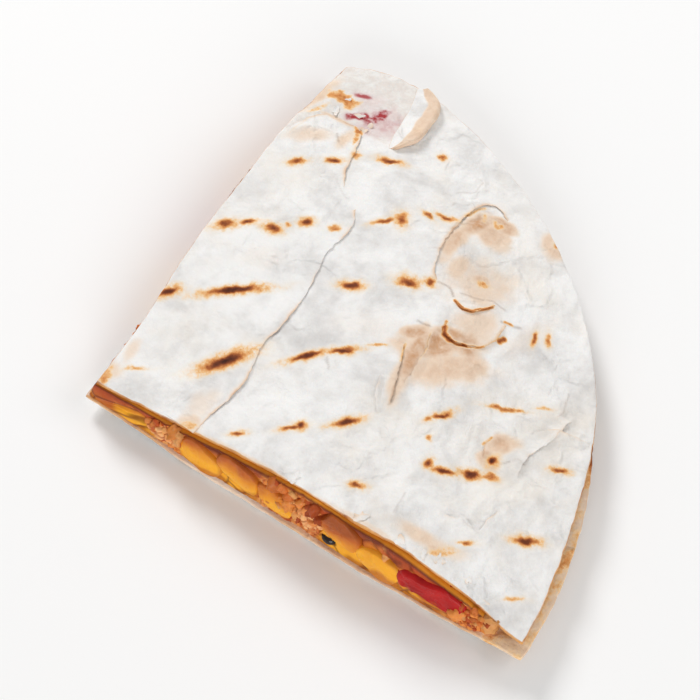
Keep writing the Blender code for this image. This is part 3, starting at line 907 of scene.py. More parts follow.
def skin_paints(points, side, stained_top, stained_wall):
    """Values kept on a tortilla's points: its marks, its toast, its peeled corner, its seams of
    painted shade in splits and creases, and sauce on its cut wall and on the side that touches
    the filling."""
    x, y, z = points.T
    at = points
    top = side < 0.02
    edge = np.minimum(y - front_cut(x), x - left_cut(y))
    wall = np.where((side > 0.02) & (side < 0.98), 1.0, 0.0)
    inward = 0.45 - side if stained_top else side - 0.25
    soak = smooth(0.75 + 0.6 * rough(at, 0.006, 83) + 3.0 * inward) * wall * stained_wall
    if stained_top:
        lip = np.where(y - front_cut(x) < x - left_cut(y), np.interp(x, *zip(*LIP_STAIN)), 0.35)
        soak *= lip
    inner = (side > 0.98) if stained_top == 0 else top
    close = smooth(1 - edge / (0.0016 + stained_top * MM * (1 + hills(at, 0.008, 87))))
    if stained_top:
        close *= lip
    peel = peel_at(x, y) * top
    scabs = patches_at(x, y, SCABS, 0.0020, 75) * top
    return {
        "char": np.maximum(np.maximum(heat_at(x, y, GRILL_ROWS) * (1 - peel), lines_at(x, y, SCORCHED)) * top, scabs),
        "toast": np.where(top, patches_at(x, y, TOAST), 0.40 * wall),
        "peel": peel,
        "blush": patches_at(x, y, BLUSHES, 0.0022, 77) * top,
        # Painted shade along the splits and creases.
        "seam": lines_at(x, y, SEAMS) * top,
        "stain": np.maximum(soak, inner * close * 0.9),
    }


def along_cut(x, start, end):
    """1 between two distances along a cut and 0 beyond them, with an S-shaped change."""
    return smooth((x - start) / 0.012 + 0.5) * smooth((end - x) / 0.012 + 0.5)


UPPER_SINK = 0.46 * MM


def upper_surface(x, y, sizes):
    """Height of the dough's upper face, a little below the solid's so that the skin's crests
    and lifted parts stay within it. Where the outer skin has come away it lies lower still."""
    return crown(x, y) - UPPER_SINK + upper_relief(x, y, sizes) - 0.16 * MM * peel_at(x, y)


def build_upper_tortilla(settings):
    """The upper tortilla: the quarter's plan with the crown above it and its own thickness
    below, rounded at the edges. The top eases down by e^(-d) beside the edge."""
    sizes, cells, coarse = settings.tortilla, 282, 3
    x, y = sheet_plan(cells, 0.0, 0.0, SHRINK)
    back = 0.60 * along_cut(x, 0.008, 0.062) + 1.00 * along_cut(x, 0.066, 0.094)
    y += back * MM * np.exp(-np.maximum(y, 0) / 0.006)
    ease = 0.26 * MM * np.exp(-edge_distance(x.shape) / 2.0)
    top = np.stack([x, y, upper_surface(x, y, sizes) - ease], axis=-1)
    under = np.stack([x, y, crown(x, y) - SHEET + 0.5 * ease], axis=-1)
    points, faces, side = closed_sheet(top, under, 0.30 * MM, 6, coarse)
    wall = (side > 0.02) & (side < 0.98)
    points[:, 2] += np.where(wall, 0.12 * MM * rough(points, 0.0018, 91), 0)
    paints = skin_paints(points, side, 0.0, 1.0)
    make_piece("upper_tortilla", points, faces, flour_skin(settings.colours), paints, ["tortilla_top"])


def build_lower_tortilla(settings):
    """The lower tortilla: the same plan with its lip, flat on the floor in the middle, and
    scorched below with the same marks turned over the diagonal. Its rim is toasted where it
    shows beyond the upper one."""
    cells = 190
    x, y = sheet_plan(cells, CUT_LIP, RIM_LIP, 0.0)
    y -= 0.45 * MM * along_cut(x, 0.016, 0.070) * np.exp(-np.maximum(y + CUT_LIP, 0) / 0.006)
    at = flat_points(x, y)
    ease = 0.30 * MM * np.exp(-edge_distance(x.shape) / 1.6)
    bubbles = 0.10 * MM * np.maximum(0, rough(at, 0.008, 101))
    top = np.stack([x, y, floor_side(x, y) + SHEET + 0.08 * MM * rough(at, 0.004, 95) - ease], axis=-1)
    under = np.stack([x, y, floor_side(x, y) + bubbles + ease], axis=-1)
    points, faces, side = closed_sheet(top, under, 0.35 * MM, 7)
    wall = (side > 0.02) & (side < 0.98)
    points[:, 2] += np.where(wall, 0.10 * MM * np.abs(rough(points, 0.0018, 97)), 0)
    paints = skin_paints(points, side, 2.2, 0.90)
    below = side > 0.98
    px, py = points[:, 0], points[:, 1]
    degrees = np.degrees(np.arctan2(py, px))
    rim = smooth((np.hypot(px, py) - 0.090) / 0.003) * smooth((38 - degrees) / 8)
    browner = np.exp(-np.square((degrees - 26) / 5))
    brown = rim * (0.24 + 0.30 * browner) * (0.9 + 0.8 * hills(points, 0.003, 99))
    paints["char"] = np.where(below, heat_at(py, px, GRILL_ROWS), brown)
    paints["toast"] = np.where(below, patches_at(py, px, TOAST), np.maximum(paints["toast"], 0.25 * (side < 0.02)))
    paints["toast"] = np.maximum(paints["toast"], rim * (0.55 + 0.35 * hills(points, 0.006, 103)))
    for unused in ("peel", "blush", "seam"):
        paints[unused] *= 0
    make_piece("lower_tortilla", points, faces, flour_skin(settings.colours), paints, ["tortilla_bottom"])


def smooth_path(corners, count):
    """Points along a path through the corners, evenly spread: a Catmull-Rom curve, where each
    corner's direction is that from the corner before it to the one after."""
    corners = np.array(corners, float)
    ends = np.concatenate([2 * corners[:1] - corners[1:2], corners, 2 * corners[-1:] - corners[-2:-1]])
    t = np.linspace(0, len(corners) - 1, 12 * count)
    piece = np.minimum(t.astype(int), len(corners) - 2)
    s = (t - piece)[:, None]
    a, b, c, d = (ends[piece + step] for step in range(4))
    curve = 0.5 * (2 * b + (c - a) * s + (2 * a - 5 * b + 4 * c - d) * s**2 + (3 * b - a - 3 * c + d) * s**3)
    length = np.concatenate([[0], np.cumsum(np.linalg.norm(np.diff(curve, axis=0), axis=1))])
    even = np.linspace(0, length[-1], count)
    return np.stack([np.interp(even, length, column) for column in curve.T], axis=1)


def across_path(path):
    """The unit direction to the left of a path at each of its points."""
    heading = np.gradient(path, axis=0)
    heading /= np.linalg.norm(heading, axis=1, keepdims=True)
    return np.stack([-heading[:, 1], heading[:, 0]], axis=1)


def lifted_skin(name, settings, corners, reach, lift, side_sign=1, thick=0.13, ragged=0.24, scorch=0.0, tan=0.3):
    """Skin that has split along a line and lifted there. Across the strip the height over the
    dough is (lift + thickness) (1 - S(v)) - sinking v, so it stands free at the split (v = 0)
    and dives into the dough at its far side (v = 1). Both ends fade in the same way."""
    rows = max(24, int(np.sum(np.linalg.norm(np.diff(corners, axis=0), axis=1)) / 0.28))
    path = smooth_path(np.array(corners) * MM, rows)
    across = side_sign * across_path(path)
    level = np.c_[path, np.zeros(rows)]
    shake = rough(level, 0.0018, 111) + 1.6 * hills(level, 0.007, 117) + 0.5 * hills(level, 0.0009, 119)
    path = path + across * (ragged * MM * shake)[:, None]
    columns = max(12, int(reach / 0.30))
    v = np.linspace(0, 1, columns) ** 1.5
    grid = path[:, None] + across[:, None] * (v[None, :, None] * reach * MM)
    x, y = grid[..., 0], grid[..., 1]
    share = np.linspace(0, 1, rows)[:, None]
    fade = smooth(share / 0.10) * smooth((1 - share) / 0.10)
    lift_line = (lift * (0.8 + 0.7 * hills(level, 0.008, 123)))[:, None]
    rise = ((lift_line + thick) * (1 - smooth(v))[None] * fade - 0.10 * v[None] - 0.06 * (1 - fade)) * MM
    ground = upper_surface(x, y, settings.tortilla) + 0.16 * MM * peel_at(x, y)
    top = np.stack([x, y, ground + rise], axis=-1)
    under = np.stack([x, y, ground + rise - thick * MM], axis=-1)
    points, faces, side = closed_sheet(top, under, 0.02 * MM, 3)
    paints = skin_paints(points, side * 0, 0.0, 0.0)
    strip = np.concatenate([np.broadcast_to(v, x.shape).ravel()] * 2 + [np.zeros(len(points) - 2 * x.size)])
    rim = np.exp(-strip * reach / 0.45)
    paints["toast"] = np.maximum(paints["toast"], rim * np.clip(tan + 0.8 * hills(points, 0.005, 127), 0, 1))
    paints["char"] = np.maximum(paints["char"], scorch * rim * (0.8 + 0.6 * hills(points, 0.004, 131)))
    # The strip's underside takes part of the dark seam colour: painted shade beneath the lifted skin.
    painted_under_shade = np.zeros(len(points))
    painted_under_shade[x.size:] = 0.30
    paints["seam"] = np.maximum(paints["seam"] * 0.5, painted_under_shade)
    for unused in ("stain", "peel", "blush"):
        paints[unused] *= 0
    make_piece(name, points, faces, flour_skin(settings.colours), paints)


# Each lifted skin: the points its split runs through and the strip's reach, in millimetres,
# its lift, the side it lies on, and how scorched and how tan its edge is.
LIFTED = {
    "skin_split_front": (
        ((23.4, -0.1), (24.5, 7.8), (25.4, 15.3), (23.9, 23.7), (25.1, 34.8), (23.0, 46.3),
         (23.0, 56.9), (20.9, 61.6)),
        8.0, 0.24, 1, 0.00, 0.42,
    ),
    "skin_split_back": (
        ((17.0, 62.6), (13.6, 69.8), (11.6, 76.7), (9.6, 79.6), (5.1, 79.2), (2.0, 78.6), (0.2, 76.4),
         (-0.8, 72.2), (-1.6, 67.4)),
        5.0, 0.24, 1, 0.06, 0.50,
    ),
    "skin_arch": (
        ((45.0, 54.8), (42.4, 58.0), (40.7, 64.0), (40.4, 69.0), (40.2, 74.2), (41.3, 78.3), (44.2, 80.2),
         (48.0, 78.4)),
        4.0, 0.26, 1, 0.10, 0.55,
    ),
    "skin_crescent": (
        ((49.8, 53.4), (52.5, 52.6), (54.7, 53.7), (56.3, 55.8), (57.2, 58.4)),
        3.2, 0.30, 1, 0.40, 0.90,
    ),
    "skin_lobe": (
        ((51.6, 48.4), (52.5, 45.6), (54.8, 44.7), (57.0, 45.2), (58.8, 46.5), (60.6, 48.3),
         (61.5, 51.6), (61.4, 56.0)),
        4.6, 0.30, 1, 0.30, 0.70,
    ),
    "skin_fold_middle": (
        ((47.6, 39.0), (50.0, 33.2), (52.0, 27.6), (53.0, 25.0)),
        3.4, 0.24, -1, 0.10, 0.60,
    ),
    "skin_fold_inner": (
        ((50.6, 44.2), (51.9, 40.0), (52.6, 35.3), (52.6, 30.6)),
        2.6, 0.30, 1, 0.00, 0.15,
    ),
    "skin_fold_right": (
        ((83.2, 46.0), (82.2, 38.4), (80.9, 32.0), (81.1, 26.9)),
        3.4, 0.26, -1, 0.00, 0.05,
    ),
    "skin_fold_rim": (
        ((88.6, 43.6), (85.4, 42.6), (81.4, 40.8), (78.0, 36.8)),
        3.0, 0.24, 1, 0.00, 0.10,
    ),
    "skin_fold_front": (
        ((82.6, 19.6), (81.5, 16.6), (81.3, 13.0), (78.0, 13.2), (74.0, 11.6)),
        2.8, 0.22, 1, 0.00, 0.02,
    ),
    "skin_blister": (
        ((73.6, 33.0), (72.6, 29.6), (73.8, 26.6)),
        2.0, 0.26, 1, 0.10, 0.70,
    ),
    "skin_wrinkle_left": (
        ((47.6, 30.4), (48.6, 27.0), (50.4, 24.2), (52.4, 22.2)),
        2.2, 0.22, 1, 0.00, 0.05,
    ),
}


def build_lifted_skins(settings):
    """All the lifted skins of the upper tortilla."""
    for name, (corners, reach, lift, side_sign, scorch, tan) in LIFTED.items():
        lifted = lift * settings.tortilla.lift
        lifted_skin(name, settings, corners, reach, lifted, side_sign, scorch=scorch, tan=tan)


def build_curled_flap(settings):
    """The flap of skin at the far corner, torn loose on its left and curled up and over to its
    right. Across it the skin rises as u^1.8 from its free edge to the curl, then follows half
    a circle over and back down. Both its width and its height swell as sin(pi t)^0.6 along it."""
    rows, rising, curling = 72, 30, 22
    edge = smooth_path(np.array(((17.6, 79.0), (16.6, 82.0), (15.6, 87.0), (14.4, 92.6), (12.6, 98.2))) * MM, rows)
    across = -across_path(edge)
    share = np.linspace(0, 1, rows)[:, None]
    full = np.sin(math.pi * np.clip(0.02 + 0.93 * share, 0, 1)) ** 0.6
    wide = 6.0 * MM * full * (1 + 0.10 * np.sin(8 * share + 1))
    tall = settings.tortilla.flap * (0.25 + 0.75 * full) * (1 + 0.10 * np.sin(11 * share))
    u = np.linspace(0, 1, rising)[None]
    a = np.linspace(0, 1, curling)[None, 1:] * math.radians(215)
    curl = 0.36 * tall
    out = np.concatenate([wide * u, wide + curl * 1.2 * np.sin(a)], axis=1)
    up = np.concatenate([(tall - 2 * curl) * 0 + tall * u**1.8, tall - curl + curl * np.cos(a)], axis=1)
    plan = edge[:, None] + across[:, None] * out[..., None]
    crumple = 0.22 * MM * rough(np.dstack([plan, up]), 0.0050, 137)
    ground = upper_surface(plan[..., 0], plan[..., 1], settings.tortilla) + 0.05 * MM
    skin = np.dstack([plan, ground + up + crumple])
    lean = np.cross(np.gradient(skin, axis=0), np.gradient(skin, axis=1))
    lean /= np.linalg.norm(lean, axis=2, keepdims=True)
    points, faces, side = closed_sheet(skin + lean * 0.13 * MM, skin - lean * 0.13 * MM, 0.08 * MM, 5)
    columns = rising + curling - 1
    v = np.broadcast_to(np.linspace(0, 1, columns), (rows, columns)).ravel()
    strip = np.concatenate([v] * 2 + [np.ones(len(points) - 2 * rows * columns)])
    rolled = smooth((strip - 0.28 + 0.08 * hills(points, 0.004, 141)) / 0.10)
    zero = np.zeros(len(points))
    speckle = 0.5 + 0.5 * hills(points, 0.0030, 139)
    paints = {"char": 0.16 * rolled * speckle, "peel": zero, "blush": zero, "seam": zero, "stain": zero,
              "toast": rolled * (0.42 + 0.40 * speckle)}
    make_piece("curled_flap", points, faces, flour_skin(settings.colours), paints)


# Filling

# What shows along a cut, by distance from the tip in millimetres: shares of crumbly mince, of
# red-brown sauce and of dark juices over the smooth amber cheese.
CUT_STORY = (
    (0, 0.10, 0.75, 0.30),
    (5, 0.05, 0.60, 0.20),
    (9, 0.00, 0.50, 0.12),
    (13, 0.10, 0.60, 0.10),
    (16, 0.80, 0.45, 0.10),
    (20, 0.85, 0.45, 0.15),
    (23, 0.10, 0.60, 0.45),
    (27, 0.00, 0.25, 0.15),
    (36, 0.00, 0.15, 0.10),
    (39, 0.15, 0.55, 0.40),
    (42, 0.85, 0.20, 0.15),
    (46, 1.00, 0.15, 0.10),
    (50, 0.75, 0.85, 0.35),
    (53, 0.55, 0.90, 0.55),
    (57, 0.05, 0.30, 0.20),
    (66, 0.00, 0.20, 0.25),
    (69, 0.35, 0.60, 0.60),
    (74, 0.10, 0.75, 0.20),
    (84, 0.30, 0.80, 0.15),
    (88, 0.90, 0.35, 0.20),
    (94, 0.85, 0.40, 0.15),
    (99, 0.20, 0.80, 0.10),
)
# The left cut shows the same foods in another order, this far further along.
LEFT_START = 31

SLANT = 0.75 * CUT_LIP
CRUMB = 0.0019
MINCE_TONES = (
    (0.82, 0.38, 0.125),
    (0.76, 0.27, 0.060),
    (0.60, 0.165, 0.034),
    (0.44, 0.080, 0.018),
)
CHUNKS = [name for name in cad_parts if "_front_" in name or "_left_" in name]


def cells(points, size, seed):
    """Crumb pattern. Each cell of a cubic lattice has one point at a random place; this returns
    each position's distance to the nearest of them, how much nearer that is than the second
    nearest, both as shares of size, and the nearest's own random number from 0 to 1."""
    shuffle, _ = random_slopes(seed)
    rng = np.random.default_rng(seed + 1)
    places, own = rng.random((256, 3)), rng.random(256)
    scaled = points / size
    home = np.floor(scaled).astype(int)
    first = np.full(points.shape[:-1], 9.0)
    second = first.copy()
    value = np.zeros_like(first)
    for step in product((-1, 0, 1), repeat=3):
        cell = home + step
        at = cell & 255
        pick = shuffle[(shuffle[(shuffle[at[..., 0]] + at[..., 1]) & 255] + at[..., 2]) & 255]
        away = np.linalg.norm(cell + places[pick] - scaled, axis=-1)
        nearer = away < first
        second = np.where(nearer, first, np.minimum(second, away))
        value = np.where(nearer, own[pick], value)
        first = np.minimum(first, away)
    return first, second - first, value


def between(x, y, share):
    """Height of a point of the filling, by its share of the way up from the lower tortilla."""
    low = floor_side(x, y) + SHEET - 0.10 * MM
    high = crown(x, y) - SHEET + 0.15 * MM
    return low + share * (high - low)


def share_at(x, y, z):
    """Share of the way up through the filling, the inverse of between."""
    low, high = between(x, y, 0.0), between(x, y, 1.0)
    return np.clip((z - low) / np.maximum(high - low, MM), 0, 1)


def against_cut(cut, along, height, depth):
    """A point by its distance along a cut, its height and its depth behind the filling's face.
    The face slants, so that its foot stands SLANT further out than its top."""
    zero = np.zeros_like(along)
    if cut == "front":
        share = share_at(np.maximum(along, 0), zero, height)
        edge = front_cut(along) - FILLING_EDGE - SLANT * (1 - share)
        return np.stack([along, edge + depth, height], axis=-1)
    share = share_at(zero, np.maximum(along, 0), height)
    edge = left_cut(along) - FILLING_EDGE - SLANT * (1 - share)
    return np.stack([edge + depth, along, height], axis=-1)


def story(along, left):
    """Shares of mince, sauce and juices at a distance along a cut."""
    shifted = (along / MM + LEFT_START) % 88 + 5
    place = np.where(left, shifted, along / MM)
    stations, *shares = zip(*CUT_STORY)
    return [np.interp(place, stations, share) for share in shares]


def chunk_rings(along, height, left):
    """How far each point of the cuts lies inside the nearest chunk's outline (above 1) or
    outside it (below 1), as seen along the cut."""
    nearest = np.zeros_like(height)
    for node in CHUNKS:
        low, high = (np.array(corner) - [TIP[0], TIP[1], 0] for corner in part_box(node))
        side = 0 if "_front_" in node else 1
        middle, half = (low + high) / 2, (high - low) / 2
        oval = np.hypot((along - middle[side]) / half[side], (height - middle[2]) / half[2])
        near = np.where(left == (side == 1), 2 - oval, 0)
        nearest = np.maximum(nearest, near)
    return nearest


def melted(share, golden, amber, orange, brown):
    """Colour of smooth melted cheese by its share of the way up: a little darker at the very foot,
    painted shade over the lower tortilla's lip; golden low down, then amber and orange; and brown
    near the top, partly the cheese's own colour and partly painted shadow under the upper
    tortilla."""
    stops = (0.00, 0.10, 0.34, 0.58, 0.78, 0.93)
    tones = np.array([mix(amber, brown, 0.35), golden, golden, amber, orange, brown])
    return np.stack([np.interp(share, stops, tone) for tone in tones.T], axis=-1)


def cheese_colours(colours):
    """The cheese's golden, amber, orange and brown."""
    golden, amber, red, brown = (np.array(c[:3]) for c in (
        colours.corn, colours.cheese, colours.sauce, colours.juices))
    return golden, amber, mix(amber, red, 0.75), mix(red, brown, 0.80)


def filling_tint(points, along, left, share, colours):
    """Colour of the filling. Mince is coloured crumb by crumb, reddening at each crumb's edge and in
    the gaps, sauce there and painted shade in the crevices; cheese runs from gold at the foot to
    brown at the top, with darker lines between its pieces; sauce and juices lie in blotches.
    Near the top, under the upper tortilla, and in a ring round each chunk the colour darkens
    further as painted shadow. Returns the colour and where it is smooth."""
    mince, sauce, juices = story(along, left)
    golden, amber, orange, dark = cheese_colours(colours)
    red = np.array(colours.sauce[:3])
    blotch, fine = rough(points, 0.0060, 151), rough(points, 0.0022, 157)
    away, gap, kind = cells(points + 0.4 * MM * fine[..., None], CRUMB, 161)
    tones = np.array(MINCE_TONES)[np.minimum((kind * len(MINCE_TONES)).astype(int), len(MINCE_TONES) - 1)]
    # Each crumb reddens towards its edge and in the gaps, where the wall is pushed in: sauce there, and painted shade
    # in the crevices.
    crumb = mix(tones, red, (0.7 * smooth(1 - gap / 0.16) + 0.2 * smooth(away - 0.3))[:, None])
    _, seam, shade = cells(points * [0.5, 0.5, 0.9], 0.0046, 167)
    smear = melted(share + 0.16 * blotch + 0.10 * (shade - 0.5), golden, amber, orange, dark)
    saucy = smooth(0.5 + 2.0 * (sauce - 0.55 + 0.45 * blotch + 0.35 * (share - 0.5)))
    smear = mix(smear, red * (0.75 + 0.5 * shade)[:, None], (0.85 * saucy)[:, None])
    smear = mix(smear, dark, (0.75 * smooth(1 - seam / 0.07))[:, None])
    smooth_share = smooth(0.5 + 2.6 * (0.45 - mince + 0.30 * blotch))
    tint = mix(crumb, smear, smooth_share[:, None])
    wet = smooth(0.5 + 2.6 * (juices - 0.66 + 0.50 * rough(points, 0.0045, 163) + 0.3 * (share - 0.6)))
    # Near the top the colour runs to the juices' dark: painted shadow under the upper tortilla.
    wet = np.maximum(wet, smooth((share - 0.90) / 0.08))
    # A dark ring just outside each chunk's outline, where the cut face is pushed in round it: painted shade in that
    # groove.
    ring = chunk_rings(along, points[:, 2], left)
    wet = np.maximum(wet, 0.7 * smooth(1 - np.abs(ring - 0.90) / 0.12))
    return np.clip(mix(tint, dark, (0.85 * wet)[:, None]), 0, 1), smooth_share


def perimeter(fine, coarse):
    """The filling's outline in its unit quarter: out along the front cut, round the rim and
    back along the left cut."""
    out = np.linspace(0, 1, fine, endpoint=False)
    turn = np.linspace(0, math.pi / 2, coarse, endpoint=False)
    p = np.concatenate([out, np.cos(turn), np.zeros(fine)])
    q = np.concatenate([np.zeros(fine), np.sin(turn), 1 - out])
    return p, q


def build_filling(settings):
    """The mince and cheese. Rings run round the outline: up the wall, then in over the top to a
    pole at the middle, and in under the bottom to another. The wall slants by SLANT and swells
    by 1 - d at distance d from each crumb's middle, and by soft hills where cheese is smooth."""
    sizes, colours = settings.filling, settings.colours
    p, q = perimeter(500, 60)
    reach = RADIUS * FILLING_REACH
    x = -FILLING_EDGE + reach * p - LEAN * RADIUS * q * (1 - p)
    y = -FILLING_EDGE + reach * q
    x += np.where(p == 0, left_cut(y) + LEAN * RADIUS * q, 0)
    y += np.where(q == 0, front_cut(x), 0)
    heading = np.stack([np.roll(x, -4) - np.roll(x, 4), np.roll(y, -4) - np.roll(y, 4)], axis=1)
    heading /= np.linalg.norm(heading, axis=1, keepdims=True)
    out = np.stack([heading[:, 1], -heading[:, 0]], axis=1)
    left = q > p
    along = np.where(left, y, x)
    on_cut = (p == 0) | (q == 0)
    at_cut = smooth((1 - np.maximum(p, q)) / 0.05) * on_cut
    share = np.linspace(0.0, 1.0, 52)[:, None]
    swell = np.sin(math.pi * np.clip(0.03 + 0.94 * share, 0, 1)) ** 0.5
    z = between(np.maximum(x, 0), np.maximum(y, 0), share)
    wall = np.dstack([np.broadcast_to(x, z.shape), np.broadcast_to(y, z.shape), z])
    flat = wall.reshape(-1, 3)
    everywhere = lambda values: np.broadcast_to(values, z.shape).ravel()
    _, cheesy = filling_tint(flat, everywhere(along), everywhere(left), everywhere(share), colours)
    crumbly = 1 - cheesy.reshape(z.shape)
    away, gap, kind = cells(wall + 0.4 * MM * rough(wall, 0.0022, 157)[..., None], CRUMB, 161)
    lumps = crumbly * (0.95 * (0.55 - away) + 0.5 * (kind - 0.5) - 0.35 * smooth(1 - gap / 0.18))
    lumps += 0.30 * hills(wall, 0.0046, 171) + 0.10 * crumbly * rough(wall, 0.0008, 177)
    _, seam, _ = cells(wall * [0.5, 0.5, 0.9], 0.0046, 167)
    lumps -= (1 - crumbly) * 0.30 * smooth(1 - seam / 0.10)
    ring = chunk_rings(np.broadcast_to(along, z.shape), z, np.broadcast_to(left, z.shape))
    lumps -= 0.7 * smooth((ring - 0.75) / 0.25)
    push = (sizes.lump * lumps * swell * np.where(left, 0.5, 1.0) + SLANT * (1 - share)) * at_cut
    wall[..., :2] += out * push[..., None]
    wall[..., 2] += 0.25 * MM * hills(wall, 0.003, 179) * swell
    middle = np.array([0.36, 0.36]) * RADIUS
    inward = (1 - np.linspace(0.05, 0.93, 7) ** 1.4)[:, None, None]
    plan = middle + (np.stack([x, y], axis=1) - middle) * inward
    px, py = np.maximum(plan[..., 0], 0), np.maximum(plan[..., 1], 0)
    top = np.dstack([plan, between(px, py, 1.0)])
    bottom = np.dstack([plan, between(px, py, 0.0)])
    points, faces = closed_ball(np.concatenate([bottom[::-1], wall, top]))
    tint = np.tile(np.array(colours.cheese[:3]), (len(points), 1))
    span = slice(7 * len(x), 7 * len(x) + len(flat))
    tint[span], _ = filling_tint(flat, everywhere(along), everywhere(left), everywhere(share), colours)
    gloss = np.zeros(len(points))
    gloss[span] = cheesy
    paints = {"tint": tint, "char": np.zeros(len(points)), "gloss": gloss}
    food = painted_food("mince", 0.05, 0.24, 0.55, 1300.0, 0.00030, 0.12)
    make_piece("filling_mince", points, faces, food, paints, ["filling"])


def rounded_block(rows, around, power_round, power_square):
    """A unit body like a superellipsoid, as rings from y = -1 to y = 1: at angle a the ring lies
    at -cos a and has radius sin a, and its outline is a superellipse, each raised to a power."""
    a = np.linspace(0, math.pi, rows + 2)[1:-1, None]
    b = np.linspace(0, 2 * math.pi, around, endpoint=False)[None]
    ring = np.sin(a) ** power_round
    x = ring * powered(np.cos(b), power_square)
    z = ring * powered(np.sin(b), power_square)
    return x, np.broadcast_to(powered(-np.cos(a), power_round), x.shape), z


def powered(value, power):
    """The value's size raised to a power, with its sign kept."""
    return np.sign(value) * np.abs(value) ** power


def in_cut(node, x, depth, z, turn=0.0):
    """Points of a chunk, given as x along the cut, depth behind the filling's face and z up,
    turned in the face and carried to the middle of the solid it stands for."""
    middle = np.array(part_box(node)).mean(0) - np.array([TIP[0], TIP[1], 0.0])
    angle = math.radians(turn)
    cut, side = ("front", 0) if "_front_" in node else ("left", 1)
    along = middle[side] + x * math.cos(angle) + z * math.sin(angle)
    height = middle[2] + z * math.cos(angle) - x * math.sin(angle)
    return against_cut(cut, along, height, depth + (0.7 * MM if cut == "left" else 0))


def node_size(node):
    """A chunk solid's size along the cut, into the filling and up."""
    low, high = (np.array(corner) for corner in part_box(node))
    size = high - low
    return size if "_front_" in node else size[[1, 0, 2]]


def ball_paints(points, tint):
    """The paints of a chunk with that colour at each point."""
    return {"tint": np.clip(tint, 0, 1), "char": np.zeros(len(points)), "gloss": np.ones(len(points))}


# Each kernel's turn in the cut in degrees, its length and height as shares of the setting, and
# how much of the cheese's gold it shows.
KERNELS = {
    "corn_front_1": (16, 1.12, 0.92, 0.10),
    "corn_front_2": (18, 1.16, 0.86, 0.00),
    "corn_front_3": (14, 1.04, 0.74, -0.10),
    "corn_front_4": (26, 1.14, 0.92, -0.14),
    "corn_front_5": (24, 1.22, 0.90, 0.16),
    "corn_left_1": (-12, 1.10, 0.90, 0.10),
    "corn_left_2": (18, 1.12, 0.94, -0.06),
    "corn_left_3": (-8, 1.06, 0.86, 0.06),
}


def kept_inside(points, node):
    """The points with heights kept between the tortillas."""
    x, y = np.maximum(points[..., 0], 0), np.maximum(points[..., 1], 0)
    if "_front_" in node:
        y = np.zeros_like(y)
    else:
        x = np.zeros_like(x)
    low, high = between(x, y, 0.02), between(x, y, 0.99)
    return np.concatenate([points[..., :2], np.clip(points[..., 2], low, high)[..., None]], axis=-1)


def build_kernels(settings):
    """Sweetcorn under melted cheese, sliced by the knife: rounded blocks that narrow to the
    root, cut nearly flat in front, each with its own lopsided outline r (1 + a cos 2b + c cos 3b)."""
    sizes, colours = settings.filling, settings.colours
    food = painted_food("corn", 0.06, 0.22, 0.42, 420.0, 0.00010, 0.20)
    golden, amber, orange, dark = cheese_colours(colours)
    for number, (node, (turn, long, tall, gold)) in enumerate(KERNELS.items()):
        x, y, z = rounded_block(56, 72, 0.36, 0.70)
        around = np.arctan2(z, x)
        lopsided = 1 + 0.07 * np.cos(2 * around + number) + 0.06 * np.cos(3 * around + 2.3 * number)
        x, z = x * lopsided, z * lopsided
        across = np.hypot(x, z)
        y = np.maximum(y, -0.86 - 0.07 * (1 - across**2))
        narrow = 1 - 0.30 * smooth((y + 0.2) / 1.2)
        depth = -0.42 * MM + (y + 0.86) * 0.43 * sizes.kernel
        wide, high = 0.50 * long * sizes.kernel, 0.44 * tall * sizes.kernel
        points = kept_inside(in_cut(node, x * narrow * wide, depth, z * narrow * high, turn), node)
        points = points + 0.20 * MM * rough(points, 0.0034, 201 + number)[..., None] * [1, 1, 0]
        points, faces = closed_ball(points)
        along = points[:, 0] if "_front_" in node else points[:, 1]
        zero = np.zeros_like(along)
        share = np.where("_front_" in node, share_at(along, zero, points[:, 2]), share_at(zero, along, points[:, 2]))
        edge = smooth((across - 0.86) / 0.20)
        skin = np.concatenate([edge.ravel(), edge[0].mean(keepdims=True), edge[-1].mean(keepdims=True)])
        # As in the cheese, the colour darkens towards the top: painted shadow under the upper tortilla.
        tint = melted(share - gold + 0.14 * rough(points, 0.0050, 211 + number), golden, amber, orange,
                      mix(orange, dark, 0.45))
        # Darker towards each kernel's rim.
        tint = mix(tint, mix(orange, dark, 0.3), (0.50 * skin * smooth(0.6 + hills(points, 0.004, 215)))[:, None])
        make_piece(node.replace("corn", "kernel"), points, faces, food, ball_paints(points, tint), [node])


def build_peppers(settings):
    """Diced red pepper: rounded blocks bowed along the fruit's wall, z falling by x squared,
    with skin on top and a ragged edge of melted cheese below."""
    colours = settings.colours
    food = painted_food("pepper", 0.08, 0.20, 0.40, 380.0, 0.00012, 0.12)
    skin, flesh = np.array(colours.pepper[:3]), np.array(colours.pepper_flesh[:3])
    for number, node in enumerate(("pepper_front_1", "pepper_left_1", "pepper_left_2")):
        long, deep, tall = node_size(node)
        x, y, z = rounded_block(52, 80, 0.34, 0.50)
        y = np.maximum(y, -0.90 - 0.05 * (1 - x * x))
        bowed = z * (0.94 + 0.12 * np.sin(5 * x + number)) - 0.20 * x * x + 0.30
        depth = -0.55 * MM + (y + 0.9) * 0.49 * deep
        points = kept_inside(in_cut(node, x * 0.66 * long, depth, bowed * 0.62 * tall), node)
        points = points + 0.26 * MM * rough(points, 0.0026, 221 + number)[..., None]
        points, faces = closed_ball(points)
        height = (points[:, 2] - points[:, 2].min()) / np.ptp(points[:, 2])
        inner = smooth(0.36 - 2.6 * height + 0.8 * rough(points, 0.0022, 231 + number))
        tint = mix(skin * (1 + 0.25 * hills(points, 0.003, 235))[:, None], flesh, (0.9 * inner)[:, None])
        name = node.replace("pepper", "pepper_piece")
        make_piece(name, points, faces, food, ball_paints(points, tint), [node])


